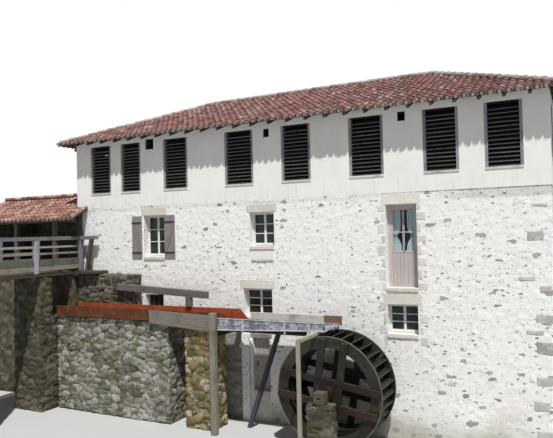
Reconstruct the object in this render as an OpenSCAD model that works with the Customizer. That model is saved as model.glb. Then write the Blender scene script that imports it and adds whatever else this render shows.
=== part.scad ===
// Stone watermill with an overshot wheel, a raised flume and a sluice shed.
// X runs along the long front wall, Y into the building, Z up. The origin lies
// under the middle of the front wall, at mid thickness.

/* [Mill walls] */
// Length of the mill, outside the masonry
mill_len = 16300; // [15600:50:17400]
// Depth of the mill, outside the masonry
mill_depth = 7600; // [7000:50:8600]
// Thickness of the rubble walls
wall_t = 600; // [500:10:700]
// Thickness of the rendered loft walls
loft_wall_t = 450; // [350:10:480]
// How far the rendered loft walls stand proud of the rubble
render_proud = 20; // [10:5:40]
// Height of the string line where the rendered walls start
string_z = 7020; // [6980:10:7100]
// Height of the course that carries the wall over the low door
low_course_z = 2760; // [2750:10:2850]

/* [Floors] */
// Height of the ground floor
ground_z = 950; // [900:10:1000]
// Height of the first floor
first_z = 4310; // [4290:10:4320]
// Height of the loft floor
loft_z = 7050; // [7000:10:7150]
// Thickness of the stone ground floor
ground_floor_t = 150; // [100:10:300]
// Thickness of each timber floor
timber_floor_t = 200; // [120:10:240]

/* [Roof] */
// How far the eaves reach past the walls
eave_out = 540; // [500:10:800]
// Height of the underside of the eaves
eave_z = 9370; // [9300:10:9600]
// Pitch of every roof slope in degrees
roof_pitch = 22.6; // [18:0.2:30]
// Thickness of boards and tiles, measured upright
roof_t = 120; // [100:10:200]
// Radius of the ridge and hip tiles
ridge_r = 80; // [60:5:140]
// How far the rafter tails stop short of the eaves
rafter_back = 30; // [10:5:80]
// Spacing of the rafter tails
rafter_gap = 620; // [450:10:900]
// Width of a rafter tail
rafter_w = 80; // [60:5:120]
// Depth of a rafter tail
rafter_h = 90; // [60:5:130]

/* [Louvres] */
// Height of the louvre sills
louvre_sill_z = 7500; // [7400:10:7700]
// Height of the top of the louvres
louvre_top_z = 9290; // [9100:10:9330]
// Width of a louvre jamb
louvre_jamb = 80; // [60:5:120]
// Depth of a louvre jamb
louvre_d = 160; // [120:10:200]
// How far a louvre is set back from the wall face
louvre_back = 10; // [0:5:60]
// Height of the sill board of a louvre
louvre_sill_h = 60; // [30:5:70]
// Thickness of a louvre slat
slat_t = 22; // [15:1:30]
// Slope of a louvre slat in degrees
slat_slope = 36; // [15:1:40]
// Spacing of the louvre slats
slat_gap = 116; // [90:2:150]
// Width of a louvre on an end wall or the back
louvre_w = 980; // [700:10:1100]

/* [Windows] */
// Thickness of a stone lintel or sill into the wall
stone_d = 220; // [150:10:240]
// How far stone lintels and sills stand proud
stone_proud = 15; // [5:5:40]
// How far stone lintels bear on the wall at each side
lintel_bear = 110; // [60:5:140]
// How far stone sills bear on the wall at each side
sill_bear = 5; // [0:1:9]
// Height of a stone sill
sill_h = 110; // [80:5:140]
// How far the window frames are set back
window_back = 240; // [220:10:300]
// Depth of a window frame
frame_d = 60; // [40:5:90]
// Width of the timber of a window frame
frame_w = 75; // [50:5:90]
// Thickness of the glass
glass_t = 10; // [6:1:20]
// Width of the shutters
shutter_w = 450; // [400:10:470]
// Thickness of the shutters
shutter_t = 35; // [25:5:50]
// How far the shutters hang below the window
shutter_low = 95; // [40:5:100]
// Gap between the shutters and the lintel
shutter_gap = 5; // [3:1:15]
// Gap between the left shutter and the window
shutter_left_gap = 80; // [40:5:100]
// Gap between the right shutter and the window
shutter_right_gap = 10; // [10:5:60]
// Gap round joinery in its opening
fit = 0.3; // [0.2:0.1:0.6]

/* [Upper door] */
// Left side of the upper door
upper_door_x = 3785; // [3700:5:3900]
// Width of the upper door
upper_door_w = 900; // [850:10:950]
// Height of the upper door
upper_door_h = 2370; // [2300:10:2400]
// Height of the boarded lower panels of the upper door
upper_panel_h = 1010; // [800:10:1200]

/* [Ground door] */
// Left side of the ground floor doorway
door_x = -690; // [-720:5:-650]
// Width of the ground floor doorway
door_w = 620; // [600:5:700]
// Height of the ground floor doorway
door_h = 1660; // [1600:10:1670]
// How far the door is set back from the wall face
door_back = 150; // [120:10:200]
// Thickness of the door
door_t = 50; // [40:2:60]
// Gap round the door
door_clear = 10; // [6:1:15]
// Height of the timber lintel over the door
door_lintel_h = 140; // [100:10:140]
// How far the timber lintel bears on the wall at each side
door_lintel_bear = 70; // [40:5:100]
// Length of the hinge straps
hinge_l = 430; // [300:10:500]
// Height of the hinge straps
hinge_w = 60; // [40:5:80]
// Height of the lower hinge over the floor
hinge_low = 250; // [150:10:400]
// Distance of the upper hinge below the lintel
hinge_high = 300; // [200:10:400]
// Wall of the hinge barrels
barrel_t = 4; // [3:1:6]
// How far the pins reach below the barrels
pintle_drop = 24; // [20:1:40]
// Radius of the hinge pins
pin_r = 9; // [7:1:11]
// Running gap of the hinge pins
pin_clear = 1; // [0.5:0.5:2]
// Width of the plastered pier beside the door
pier_strip_w = 340; // [250:10:360]
// How far the plastered pier stands proud
pier_strip_proud = 120; // [60:10:180]

/* [Waterwheel] */
// Place of the wheel shaft along the wall
wheel_x = 2565; // [2500:5:2650]
// Height of the wheel shaft
wheel_z = 1600; // [1590:5:1620]
// Radius of the wheel
wheel_r = 1520; // [1480:5:1530]
// Radial width of the shrouds
shroud_w = 320; // [260:10:400]
// Thickness of a shroud
shroud_t = 70; // [50:5:90]
// Distance from the wall face to the far shroud
wheel_wall_gap = 400; // [360:10:440]
// Width of the wheel over its shrouds
wheel_w = 1280; // [1260:10:1300]
// Number of buckets and of sole boards
bucket_count = 32; // [24:2:40]
// Thickness of the bucket and sole boards
bucket_t = 28; // [20:2:40]
// Slope of the bucket boards from the radius in degrees
bucket_slope = 30; // [20:1:40]
// How far the bucket boards stay inside the rim
bucket_in = 10; // [5:1:30]
// Offset of the paired arms from the shaft centre
arm_offset = 310; // [290:5:340]
// Width of a wheel arm
arm_w = 200; // [140:10:220]
// Thickness of a wheel arm
arm_t = 90; // [60:5:100]
// Gap between the arm ends and the rim
arm_rim_gap = 60; // [40:5:120]
// Turn of the wheel as it stands, in degrees
wheel_turn = 8.5; // [0:0.5:45]
// Radius of the wheel shaft
shaft_r = 195; // [150:5:200]
// Radius of the iron gudgeons
gudgeon_r = 40; // [30:2:50]
// Running gap of the gudgeons in their bearings
gudgeon_clear = 0.3; // [0.2:0.1:1]
// Length of the shaft outside the near arms
shaft_out = 200; // [120:10:240]
// How far the shaft runs into the wall
shaft_in = 200; // [150:10:260]
// Length of the iron gudgeons outside the shaft
gudgeon_l = 330; // [280:10:340]
// Gap between the shaft ends and the bearing blocks
bearing_gap = 70; // [60:5:90]
// Side of a bearing block
bearing_w = 300; // [240:10:340]
// Side of the opening in the wall for the shaft
shaft_hole = 480; // [440:10:520]
// Thickness of the near bearing pier
wheel_pier_t = 400; // [340:10:420]
// Width of the near bearing pier
wheel_pier_w = 800; // [600:10:1000]

/* [Flume] */
// Near face of the flume, from the wall face
flume_near = 1600; // [1560:10:1620]
// Far face of the flume, from the wall face
flume_far = 500; // [460:10:540]
// Underside of the zinc trough
zinc_z = 3210; // [3200:2:3240]
// Height of the near side of the zinc trough
zinc_h = 240; // [180:10:300]
// Height of the far side of the zinc trough
zinc_far_h = 90; // [60:5:150]
// How far the near side hangs below the trough at its left end
skirt_drop = 130; // [60:5:150]
// Gap between the end of this skirt and the arm under the trough
skirt_clear = 55; // [20:5:100]
// Thickness of the zinc clad boards
zinc_t = 30; // [25:5:40]
// Right end of the zinc trough, before the shaft
zinc_end_gap = 70; // [40:5:100]
// Left end of the zinc trough
zinc_x = -975; // [-985:5:-960]
// Height of the timber far side over the zinc trough
far_board_rise = 55; // [30:5:80]
// Thickness of the timber sides
far_board_t = 45; // [35:5:45]
// Length of the far side past the zinc trough
far_board_past = 60; // [0:10:120]
// Gap between the floors of the steel and zinc troughs
trough_step = 2; // [1:1:5]
// Distance of the steel trough from the sluice walk
steel_start = 105; // [60:5:160]
// Right end of the steel trough
steel_end_x = -455; // [-480:5:-400]
// Slant of the end of the steel trough
steel_slant = 340; // [200:10:400]
// Height of the steel trough
steel_h = 360; // [300:10:380]
// Thickness of the steel plate
steel_t = 12; // [10:1:20]
// Gap between the steel trough and the zinc sides
steel_in = 45; // [45:5:60]
// Left end of the timber board on the steel trough
near_board_x = -3560; // [-3700:5:-3500]
// Height of the timber board at its left end
near_board_h = 415; // [350:5:430]
// Height of the timber board at its right end
near_board_end_h = 480; // [400:5:500]
// How far the timber board's top lies below the rim
near_board_drop = 15; // [10:5:90]
// How far the timber board falls toward its right end
near_board_fall = 85; // [0:5:100]
// Gap between the timber board and the flume post
near_board_gap = 20; // [5:5:60]
// Side of the flume post
post_w = 180; // [150:10:200]
// Distance of the flume post from the zinc trough's end
post_back = 105; // [100:5:130]
// Distance of the beams from the sides of the trough
beam_inset = 100; // [60:10:160]
// Width of the beams under the zinc trough
beam_w = 140; // [100:10:160]
// Depth of the beams under the zinc trough
beam_h = 160; // [120:10:180]
// Right end of the beams under the zinc trough
beam_end_x = 1850; // [1800:10:1880]
// Place of the arm that carries the end of the trough
arm_x = 2240; // [2200:5:2240]
// Side of the arm and of its post
arm_side = 100; // [80:5:102]
// Distance of the arm's post from the wall face
arm_reach = 2860; // [2840:10:2950]
// Width of the trough straps
strap_w = 50; // [30:5:60]
// Thickness of the trough straps
strap_t = 8; // [6:1:12]
// How far the straps reach below the near side
strap_drop = 80; // [30:5:90]
// Side of the leaning prop under the far beam
prop_w = 130; // [90:10:150]
// Place of the top of the leaning prop
prop_x = 640; // [500:5:700]
// Lean of the prop along the wall in degrees
prop_lean = 20; // [10:1:22]

/* [Abutment] */
// Right end of the long abutment
abut_end_x = -2875; // [-2900:5:-2800]
// Left end of the short abutment
short_abut_x = -2300; // [-2350:5:-2200]
// Distance of the back of the short abutment from the wall face
short_abut_far = 650; // [600:10:800]
// Front of the abutment, from the wall face
abut_near = 1500; // [1400:10:1530]
// Right end of the ledge
ledge_end_x = -5120; // [-5200:10:-5110]
// Gap between the short abutment and the flume post
abut_gap = 60; // [10:5:100]

/* [Sluice walk] */
// How far the sluice walk passes the mill corner
walk_past = 375; // [350:5:400]
// Width of the sluice walk
walk_w = 1400; // [1200:10:1600]
// Length of the sluice walk from the wall face
walk_len = 4400; // [3900:10:4500]
// Height of the deck of the sluice walk
walk_z = 4730; // [4700:10:4780]
// Thickness of the deck
deck_t = 100; // [60:5:120]
// Height of the railing
rail_h = 1270; // [1150:10:1350]
// Side of a railing post
rail_post = 160; // [120:5:180]
// Height of the top rail of the railing
rail_top_t = 130; // [80:5:150]
// Height of the lower slat over the deck
low_slat_z = 645; // [600:5:700]
// Height of the upper slat over the deck
high_slat_z = 875; // [820:5:950]
// Width of the railing slats
rail_slat_h = 70; // [50:5:100]
// Thickness of the railing slats
rail_slat_t = 40; // [25:5:50]
// Height of the foot of the boards under the slats, over the deck
rail_panel_z = 85; // [50:5:120]
// Height of the boards under the slats
rail_panel_h = 400; // [350:10:450]
// Length of the deck that turns along the ledge
return_len = 1075; // [900:5:1200]
// How far the turned rail stops short of its deck
rail_short = 310; // [250:5:350]
// Lean of the last railing post in degrees
rail_lean = 12; // [0:1:15]
// Distance of the foot of the last post from the end of the rail
rail_foot = 560; // [480:5:600]
// Side of the last railing post
lean_post = 130; // [100:5:160]
// How far the railing is set back from the front of the turned deck
rail_in = 370; // [300:5:400]
// Thickness of the race walls
race_wall_t = 550; // [450:10:600]

/* [Gate beam] */
// Left end of the gate beam
gate_x = -5750; // [-5760:5:-5600]
// Right end of the gate beam
gate_end_x = -1990; // [-2100:5:-1950]
// Width of the gate beam
gate_t = 150; // [100:5:160]
// Depth of the gate beam
gate_h = 230; // [150:5:240]
// Height of the underside of the gate beam at its post
gate_z = 3930; // [3900:5:4000]
// Fall of the gate beam in degrees
gate_slope = 2.9; // [0:0.1:4]
// Left side of the post of the gate beam
gate_post_x = -2825; // [-2900:5:-2750]
// Width of the post of the gate beam
gate_post_w = 210; // [150:5:240]
// Radius of the iron rods
rod_r = 18; // [10:1:18]
// Foot of the rod beside the steel trough
rod_x = -4860; // [-4880:5:-4840]
// Length of the rod beside the steel trough
rod_l = 1500; // [1300:10:1550]
// Gap between the rod beside the steel trough and the end of the gate beam
rod_gap = 20; // [10:5:60]
// Distance of the rod on the deck from the end of the rail
deck_rod_in = 155; // [120:5:240]
// Length of the rod on the deck
deck_rod_l = 950; // [800:10:1000]
// Lean of the rod on the deck in degrees
deck_rod_lean = 24; // [15:1:30]

/* [Sluice shed] */
// Length of the shed beside the mill
shed_len = 5500; // [5000:50:6000]
// How far the shed roof reaches in front of the mill
shed_front = 1000; // [900:10:1100]
// Underside of the front eaves of the shed
shed_eave_z = 6560; // [6500:10:6650]
// Distance of the shed ridge behind the mill face
shed_ridge_y = 1200; // [1100:10:1300]
// Pitch of the shed roof in degrees
shed_pitch = 23.5; // [20:0.5:28]
// Side of the shed posts
shed_post = 160; // [120:10:200]
// Distance of the shed posts from the mill face
shed_post_out = 520; // [500:10:560]
// Thickness of the shed walls
shed_wall_t = 500; // [400:10:550]
// Thickness of the shed roof, measured upright
shed_roof_t = 130; // [100:10:170]
// Radius of the ridge tiles of the shed
shed_ridge_r = 110; // [80:5:140]
// How far the shed roof passes its left wall
shed_verge = 100; // [50:10:200]
// How far the shed roof passes its back wall
shed_back_out = 300; // [200:10:400]
// Skew of the right verge of the shed roof
shed_skew = 440; // [300:10:500]
// How far the wall plate stops short of the right verge
plate_short = 300; // [250:10:400]
// Distance of the last shed post from the mill corner
shed_post_gap = 500; // [400:10:600]
// Spacing of the shed posts
shed_post_step = 2060; // [1800:10:2200]
// Number of shed posts
shed_post_count = 2; // [1:1:2]
// Distance of the post on the mill face from the mill corner
corner_post_in = 45; // [30:5:50]
// Thickness of the shed floor
shed_slab_t = 150; // [100:10:250]
// How far the shed roof passes the mill corner
shed_past = 700; // [600:10:760]

/* [Hidden] */

face_y = -wall_t / 2;
back_y = face_y + mill_depth;
x0 = -mill_len / 2;
x1 = mill_len / 2;
through = 50;
roof_tan = tan(roof_pitch);
half_span = mill_depth / 2 + eave_out;
eave_x0 = x0 - eave_out;
eave_x1 = x1 + eave_out;
eave_y0 = face_y - eave_out;
eave_y1 = back_y + eave_out;
ridge_y = face_y + mill_depth / 2;
ridge_rise = half_span * roof_tan;

// Openings of the front wall, vents among them: left side, bottom, width, height
mid_left = [-5015, 5220, 900, 1440];
mid_right = [-705, 5540, 880, 1080];
low_left = [-985, 3280, 1040, 900];
low_right = [3765, 3000, 890, 830];
small_low = [-4995, 3290, 790, 610];
upper_door_box = [upper_door_x, first_z, upper_door_w, upper_door_h];
front_windows = [mid_left, mid_right, low_left, low_right, small_low];
front_lintels = [[mid_left, 290], [mid_right, 270], [low_left, 290],
  [low_right, 320], [upper_door_box, 320]];
// Left side and width of each louvre
front_louvre_spans = [[-7455, 970], [-6005, 900], [-4095, 1020], [-1585, 1070],
  [495, 1000], [2735, 1050], [4925, 970], [6565, 960]];
front_louvre_boxes = [for (p = front_louvre_spans)
  [p[0], louvre_sill_z, p[1], louvre_top_z - louvre_sill_z]];
left_vent = [-4880, 9000, 365, 370];
middle_vent = [-135, 8995, 210, 270];
right_vent = [4215, 9045, 225, 270];
vents = [left_vent, middle_vent, right_vent];

// Openings that the photographed side does not fix, laid out evenly
back_window_w = 900;
back_window_h = 1080;
back_window_z = 5450;
low_window_h = 830;
low_window_z = 2300;
function even(n, from, to, w) =
  [for (i = [0:n - 1]) from + (to - from) * (i + 0.5) / n - w / 2];
back_upper = [for (x = even(6, x0, x1, back_window_w))
  [x, back_window_z, back_window_w, back_window_h]];
back_lower = [for (x = even(4, x0, x1, back_window_w))
  [x, low_window_z, back_window_w, low_window_h]];
back_windows = concat(back_upper, back_lower);
back_louvre_boxes = [for (x = even(8, x0, x1, louvre_w))
  [x, louvre_sill_z, louvre_w, louvre_top_z - louvre_sill_z]];
end_louvre_boxes = [for (y = even(3, face_y, back_y, louvre_w))
  [y, louvre_sill_z, louvre_w, louvre_top_z - louvre_sill_z]];
right_windows = concat([for (y = even(2, face_y, back_y, back_window_w))
  [y, back_window_z, back_window_w, back_window_h]],
  [for (y = even(2, face_y, back_y, back_window_w))
  [y, low_window_z, back_window_w, low_window_h]]);
left_window_in = 2300;
left_windows = [for (y = [back_y - left_window_in])
  [y, back_window_z, back_window_w, back_window_h]];
back_lintel_h = 280;

// A box from its low corner and its size
module block(corner, size) {
  translate(corner) cube(size);
}

// Cuts for a list of openings in a wall along X, from y_low to y_high
module cuts_x(openings, y_low, y_high) {
  for (o = openings)
    block([o[0], y_low, o[1]], [o[2], y_high - y_low, o[3]]);
}

// Cuts for a list of openings in a wall along Y, from x_low to x_high
module cuts_y(openings, x_low, x_high) {
  for (o = openings)
    block([x_low, o[0], o[1]], [x_high - x_low, o[2], o[3]]);
}

// Lintel box over an opening of the front, and sill box under it
function over(o, h) = [o[0] - lintel_bear, o[1] + o[3], o[2] + 2 * lintel_bear, h];
function under(o) = [o[0] - sill_bear, o[1] - sill_h, o[2] + 2 * sill_bear, sill_h];

// The openings less the gap round the joinery in them
function fitted(openings) =
  [for (o = openings) [o[0] + fit, o[1] + fit, o[2] - 2 * fit, o[3] - 2 * fit]];
front_lintel_boxes = [for (l = front_lintels) over(l[0], l[1])];
sill_windows = [mid_left, mid_right, low_right, low_left, upper_door_box];
front_sill_boxes = [for (o = sill_windows) under(o)];
door_lintel_box = [door_x - door_lintel_bear, ground_z + door_h,
  door_w + 2 * door_lintel_bear, door_lintel_h];

// Everything under the roof slopes, raised by lift
module under_roof(lift) {
  intersection() {
    translate([eave_x0, 0, 0]) rotate([90, 0, 90])
      linear_extrude(eave_x1 - eave_x0)
        polygon([[eave_y0, 0], [eave_y1, 0], [eave_y1, eave_z + lift],
          [ridge_y, eave_z + lift + ridge_rise], [eave_y0, eave_z + lift]]);
    translate([0, eave_y1, 0]) rotate([90, 0, 0])
      linear_extrude(eave_y1 - eave_y0)
        polygon([[eave_x0, 0], [eave_x1, 0], [eave_x1, eave_z + lift],
          [eave_x1 - half_span, eave_z + lift + ridge_rise],
          [eave_x0 + half_span, eave_z + lift + ridge_rise],
          [eave_x0, eave_z + lift]]);
  }
}

module front_wall_lower_left() color("gainsboro") {
  top = low_course_z;
  difference() {
    union() {
      block([x0, face_y, 0], [door_x - x0, wall_t, top]);
      block([door_x - pier_strip_w, face_y - pier_strip_proud, 0],
        [pier_strip_w - door_lintel_bear, pier_strip_proud, top]);
    }
    cuts_x([door_lintel_box], face_y - through, face_y + stone_d);
  }
}

module front_wall_lower_right() color("gainsboro") {
  left = door_x + door_w;
  difference() {
    block([left, face_y, 0], [x1 - left, wall_t, low_course_z]);
    cuts_x([door_lintel_box], face_y - through, face_y + stone_d);
    cuts_x([[wheel_x - shaft_hole / 2, wheel_z - shaft_hole / 2, shaft_hole, shaft_hole]],
      face_y - through, face_y + wall_t + through);
  }
}

module door_threshold() color("gray")
  block([door_x, face_y, 0], [door_w, wall_t, ground_z]);

module front_wall() color("whitesmoke")
  difference() {
    union() {
      block([x0, face_y, low_course_z], [mill_len, wall_t, string_z - low_course_z]);
      block([door_x, face_y + stone_d, ground_z + door_h],
        [door_w, wall_t - stone_d, low_course_z - ground_z - door_h]);
    }
    cuts_x(concat(front_windows, [upper_door_box]),
      face_y - through, face_y + wall_t + through);
    cuts_x(concat(front_lintel_boxes, front_sill_boxes),
      face_y - through, face_y + stone_d);
  }

module back_wall() color("whitesmoke")
  difference() {
    block([x0, back_y - wall_t, 0], [mill_len, wall_t, string_z]);
    cuts_x(back_windows, back_y - wall_t - through, back_y + through);
    cuts_x([for (o = back_windows) over(o, back_lintel_h)],
      back_y - stone_d, back_y + through);
    cuts_x([for (o = back_windows) under(o)], back_y - stone_d, back_y + through);
  }

module left_wall() color("whitesmoke")
  difference() {
    block([x0, face_y + wall_t, 0], [wall_t, mill_depth - 2 * wall_t, string_z]);
    cuts_y(left_windows, x0 - through, x0 + wall_t + through);
    cuts_y([for (o = left_windows) over(o, back_lintel_h)],
      x0 - through, x0 + stone_d);
    cuts_y([for (o = left_windows) under(o)], x0 - through, x0 + stone_d);
  }

module right_wall() color("whitesmoke")
  difference() {
    block([x1 - wall_t, face_y + wall_t, 0], [wall_t, mill_depth - 2 * wall_t, string_z]);
    cuts_y(right_windows, x1 - wall_t - through, x1 + through);
    cuts_y([for (o = right_windows) over(o, back_lintel_h)],
      x1 - stone_d, x1 + through);
    cuts_y([for (o = right_windows) under(o)], x1 - stone_d, x1 + through);
  }

// A rendered loft wall, cut to the underside of the roof
module loft_slab(corner, size) {
  intersection() {
    block(corner, size);
    under_roof(0);
  }
}
loft_h = eave_z + ridge_rise - string_z;

module loft_front_wall() color("floralwhite")
  difference() {
    loft_slab([x0 - render_proud, face_y - render_proud, string_z],
      [mill_len + 2 * render_proud, loft_wall_t, loft_h]);
    cuts_x(concat(front_louvre_boxes, vents),
      face_y - render_proud - through, face_y + loft_wall_t + through);
  }

module loft_back_wall() color("floralwhite")
  difference() {
    loft_slab([x0 - render_proud, back_y + render_proud - loft_wall_t, string_z],
      [mill_len + 2 * render_proud, loft_wall_t, loft_h]);
    cuts_x(back_louvre_boxes,
      back_y - loft_wall_t - through, back_y + render_proud + through);
  }

module loft_end_walls() color("floralwhite")
  for (x = [x0 - render_proud, x1 + render_proud - loft_wall_t])
    difference() {
      loft_slab([x, face_y - render_proud + loft_wall_t, string_z],
        [loft_wall_t, mill_depth + 2 * render_proud - 2 * loft_wall_t, loft_h]);
      cuts_y(end_louvre_boxes, x - through, x + loft_wall_t + through);
    }

// A floor between the inner faces of the walls
module floor_slab(top, thick)
  block([x0 + wall_t, face_y + wall_t, top - thick],
    [mill_len - 2 * wall_t, mill_depth - 2 * wall_t, thick]);

module ground_floor() color("darkgray") floor_slab(ground_z, ground_floor_t);

module first_floor() color("tan") floor_slab(first_z, timber_floor_t);

module loft_floor() color("tan")
  floor_slab(loft_z, timber_floor_t);

// One slope: a plan outline between the two roof surfaces
module roof_slope(outline) {
  difference() {
    intersection() {
      linear_extrude(eave_z + ridge_rise + roof_t + through) polygon(outline);
      under_roof(roof_t);
    }
    under_roof(0);
  }
}

module roof_front() color("sienna")
  roof_slope([[eave_x0, eave_y0], [eave_x1, eave_y0],
    [eave_x1 - half_span, ridge_y], [eave_x0 + half_span, ridge_y]]);

module roof_back() color("sienna")
  roof_slope([[eave_x0, eave_y1], [eave_x0 + half_span, ridge_y],
    [eave_x1 - half_span, ridge_y], [eave_x1, eave_y1]]);

module roof_ends() color("sienna") {
  roof_slope([[eave_x0, eave_y0], [eave_x0 + half_span, ridge_y], [eave_x0, eave_y1]]);
  roof_slope([[eave_x1, eave_y0], [eave_x1, eave_y1], [eave_x1 - half_span, ridge_y]]);
}

// A hip cap from an eave corner up to the end of the ridge
module hip_cap(corner_x, corner_y, toward_x, toward_y) {
  run = half_span * sqrt(2);
  rise = ridge_rise;
  translate([corner_x, corner_y, eave_z + roof_t])
    rotate([0, 0, atan2(toward_y, toward_x)])
      rotate([0, 90 - atan2(rise, run), 0])
        cylinder(r = ridge_r, h = sqrt(run * run + rise * rise), $fn = 24);
}

module ridge_tiles() color("peru")
  difference() {
    union() {
      translate([eave_x0 + half_span - ridge_r, ridge_y, eave_z + roof_t + ridge_rise])
        rotate([0, 90, 0])
          cylinder(r = ridge_r, h = eave_x1 - eave_x0 - 2 * half_span + 2 * ridge_r, $fn = 24);
      for (c = [[eave_x0, eave_y0, 1, 1], [eave_x0, eave_y1, 1, -1],
        [eave_x1, eave_y0, -1, 1], [eave_x1, eave_y1, -1, -1]])
        intersection() {
          hip_cap(c[0], c[1], c[2], c[3]);
          block([eave_x0, eave_y0, 0],
            [eave_x1 - eave_x0, eave_y1 - eave_y0, eave_z + 2 * ridge_rise]);
        }
    }
    under_roof(roof_t);
  }

// A rafter tail under the eaves, running along +Y from the eave edge
module rafter_tail(run) {
  rotate([90, 0, 90]) linear_extrude(rafter_w)
    polygon([[rafter_back, rafter_back * roof_tan - rafter_h], [run, run * roof_tan - rafter_h],
      [run, run * roof_tan], [rafter_back, rafter_back * roof_tan]]);
}

module rafter_tails() color("dimgray") {
  run = eave_out - render_proud;
  n = floor((mill_len - rafter_gap) / rafter_gap);
  m = floor((mill_depth - rafter_gap) / rafter_gap);
  for (i = [0:n]) {
    x = (i - n / 2) * rafter_gap - rafter_w / 2;
    translate([x, eave_y0, eave_z - fit]) rafter_tail(run);
    translate([x + rafter_w, eave_y1, eave_z - fit]) rotate([0, 0, 180]) rafter_tail(run);
  }
  for (i = [0:m]) {
    y = ridge_y + (i - m / 2) * rafter_gap;
    translate([eave_x0, y + rafter_w / 2, eave_z - fit]) rotate([0, 0, -90]) rafter_tail(run);
    translate([eave_x1, y - rafter_w / 2, eave_z - fit]) rotate([0, 0, 90]) rafter_tail(run);
  }
}

// A louvre w wide and h high that looks along -Y, its face at y = 0
module louvre(w, h) {
  slat_l = louvre_d / cos(slat_slope) - slat_t;
  slat_rise = louvre_d * tan(slat_slope);
  n = floor((h - louvre_sill_h - 3 * slat_t - slat_rise) / slat_gap) + 1;
  block([0, 0, 0], [louvre_jamb, louvre_d, h]);
  block([w - louvre_jamb, 0, 0], [louvre_jamb, louvre_d, h]);
  block([0, 0, 0], [w, louvre_d, louvre_sill_h]);
  for (i = [0:n - 1])
    translate([louvre_jamb / 2, 0, louvre_sill_h + slat_t + i * slat_gap])
      rotate([slat_slope, 0, 0])
        translate([0, slat_t, 0]) cube([w - louvre_jamb, slat_l, slat_t]);
}

module front_louvres() color("dimgray")
  for (o = fitted(front_louvre_boxes))
    translate([o[0], face_y - render_proud + louvre_back, o[1]]) louvre(o[2], o[3]);

module back_louvres() color("dimgray")
  for (o = fitted(back_louvre_boxes))
    translate([o[0] + o[2], back_y + render_proud - louvre_back, o[1]])
      rotate([0, 0, 180]) louvre(o[2], o[3]);

module end_louvres() color("dimgray")
  for (o = fitted(end_louvre_boxes)) {
    translate([x0 - render_proud + louvre_back, o[0] + o[2], o[1]])
      rotate([0, 0, -90]) louvre(o[2], o[3]);
    translate([x1 + render_proud - louvre_back, o[0], o[1]])
      rotate([0, 0, 90]) louvre(o[2], o[3]);
  }

// A window frame w wide and h high that looks along -Y
module window_frame(w, h)
  difference() {
    cube([w, frame_d, h]);
    for (side = [0, 1])
      block([frame_w + side * (w - frame_w) / 2, -through, frame_w],
        [(w - 3 * frame_w) / 2, frame_d + 2 * through, h - 2 * frame_w]);
  }

// The glass of such a window, held between the faces of its frame
module window_pane(w, h)
  for (side = [0, 1])
    block([frame_w + side * (w - frame_w) / 2, (frame_d - glass_t) / 2, frame_w],
      [(w - 3 * frame_w) / 2, glass_t, h - 2 * frame_w]);

// Puts one window for each opening, frame or glass, on every wall
module each_window(glass) {
  module unit(w, h) {
    if (glass) window_pane(w, h);
    else window_frame(w, h);
  }
  for (o = fitted(front_windows))
    translate([o[0], face_y + window_back, o[1]]) unit(o[2], o[3]);
  for (o = fitted(back_windows))
    translate([o[0] + o[2], back_y - window_back, o[1]]) rotate([0, 0, 180]) unit(o[2], o[3]);
  for (o = fitted(left_windows))
    translate([x0 + window_back, o[0] + o[2], o[1]]) rotate([0, 0, -90]) unit(o[2], o[3]);
  for (o = fitted(right_windows))
    translate([x1 - window_back, o[0], o[1]]) rotate([0, 0, 90]) unit(o[2], o[3]);
}

module window_frames() color("white") each_window(false);

module window_glass() color("lightsteelblue") {
  each_window(true);
  translate([upper_door_x, face_y + window_back, first_z])
    upper_door_glass();
}

module lintels() color("darkkhaki") {
  cuts_x(front_lintel_boxes, face_y - stone_proud, face_y + stone_d);
  cuts_x([for (o = back_windows) over(o, back_lintel_h)],
    back_y - stone_d, back_y + stone_proud);
  cuts_y([for (o = left_windows) over(o, back_lintel_h)],
    x0 - stone_proud, x0 + stone_d);
  cuts_y([for (o = right_windows) over(o, back_lintel_h)],
    x1 - stone_d, x1 + stone_proud);
}

module sills() color("darkkhaki") {
  out = 3 * stone_proud;
  cuts_x(front_sill_boxes, face_y - out, face_y + stone_d);
  cuts_x([for (o = back_windows) under(o)], back_y - stone_d, back_y + out);
  cuts_y([for (o = left_windows) under(o)], x0 - out, x0 + stone_d);
  cuts_y([for (o = right_windows) under(o)], x1 - stone_d, x1 + out);
}

// Upper door: two glazed leaves over boarded panels
leaf_gap = 6;
leaf = (upper_door_w - 2 * frame_w - leaf_gap) / 2;
module upper_door_glass() {
  for (side = [0, 1])
    block([frame_w + side * (leaf + leaf_gap) + frame_w, (frame_d - glass_t) / 2,
      upper_panel_h + frame_w / 2],
      [leaf - 2 * frame_w, glass_t, upper_door_h - upper_panel_h - frame_w * 5 / 2]);
}

module upper_door() color("rosybrown")
  translate([upper_door_x, face_y + window_back, first_z])
    difference() {
      block([fit, 0, fit], [upper_door_w - 2 * fit, frame_d, upper_door_h - 2 * fit]);
      for (side = [0, 1])
        block([frame_w + side * (leaf + leaf_gap) + frame_w, -through,
          upper_panel_h + frame_w / 2],
          [leaf - 2 * frame_w, frame_d + 2 * through,
            upper_door_h - upper_panel_h - frame_w * 5 / 2]);
    }

module shutters() color("slategray") {
  h = mid_left[3] + shutter_low - shutter_gap;
  z = mid_left[1] - shutter_low;
  for (x = [mid_left[0] - shutter_left_gap - shutter_w,
    mid_left[0] + mid_left[2] + shutter_right_gap])
    block([x, face_y - shutter_t, z], [shutter_w, shutter_t, h]);
}

// The ground door hangs on pins at its right, inner edge
pin_x = door_x + door_w - 2 * door_clear;
leaf_y0 = face_y + door_back;
barrel_r = pin_r + pin_clear + barrel_t;
pin_y = leaf_y0 + door_t + barrel_r;
hinge_zs = [ground_z + hinge_low, ground_z + door_h - hinge_high];

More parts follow.
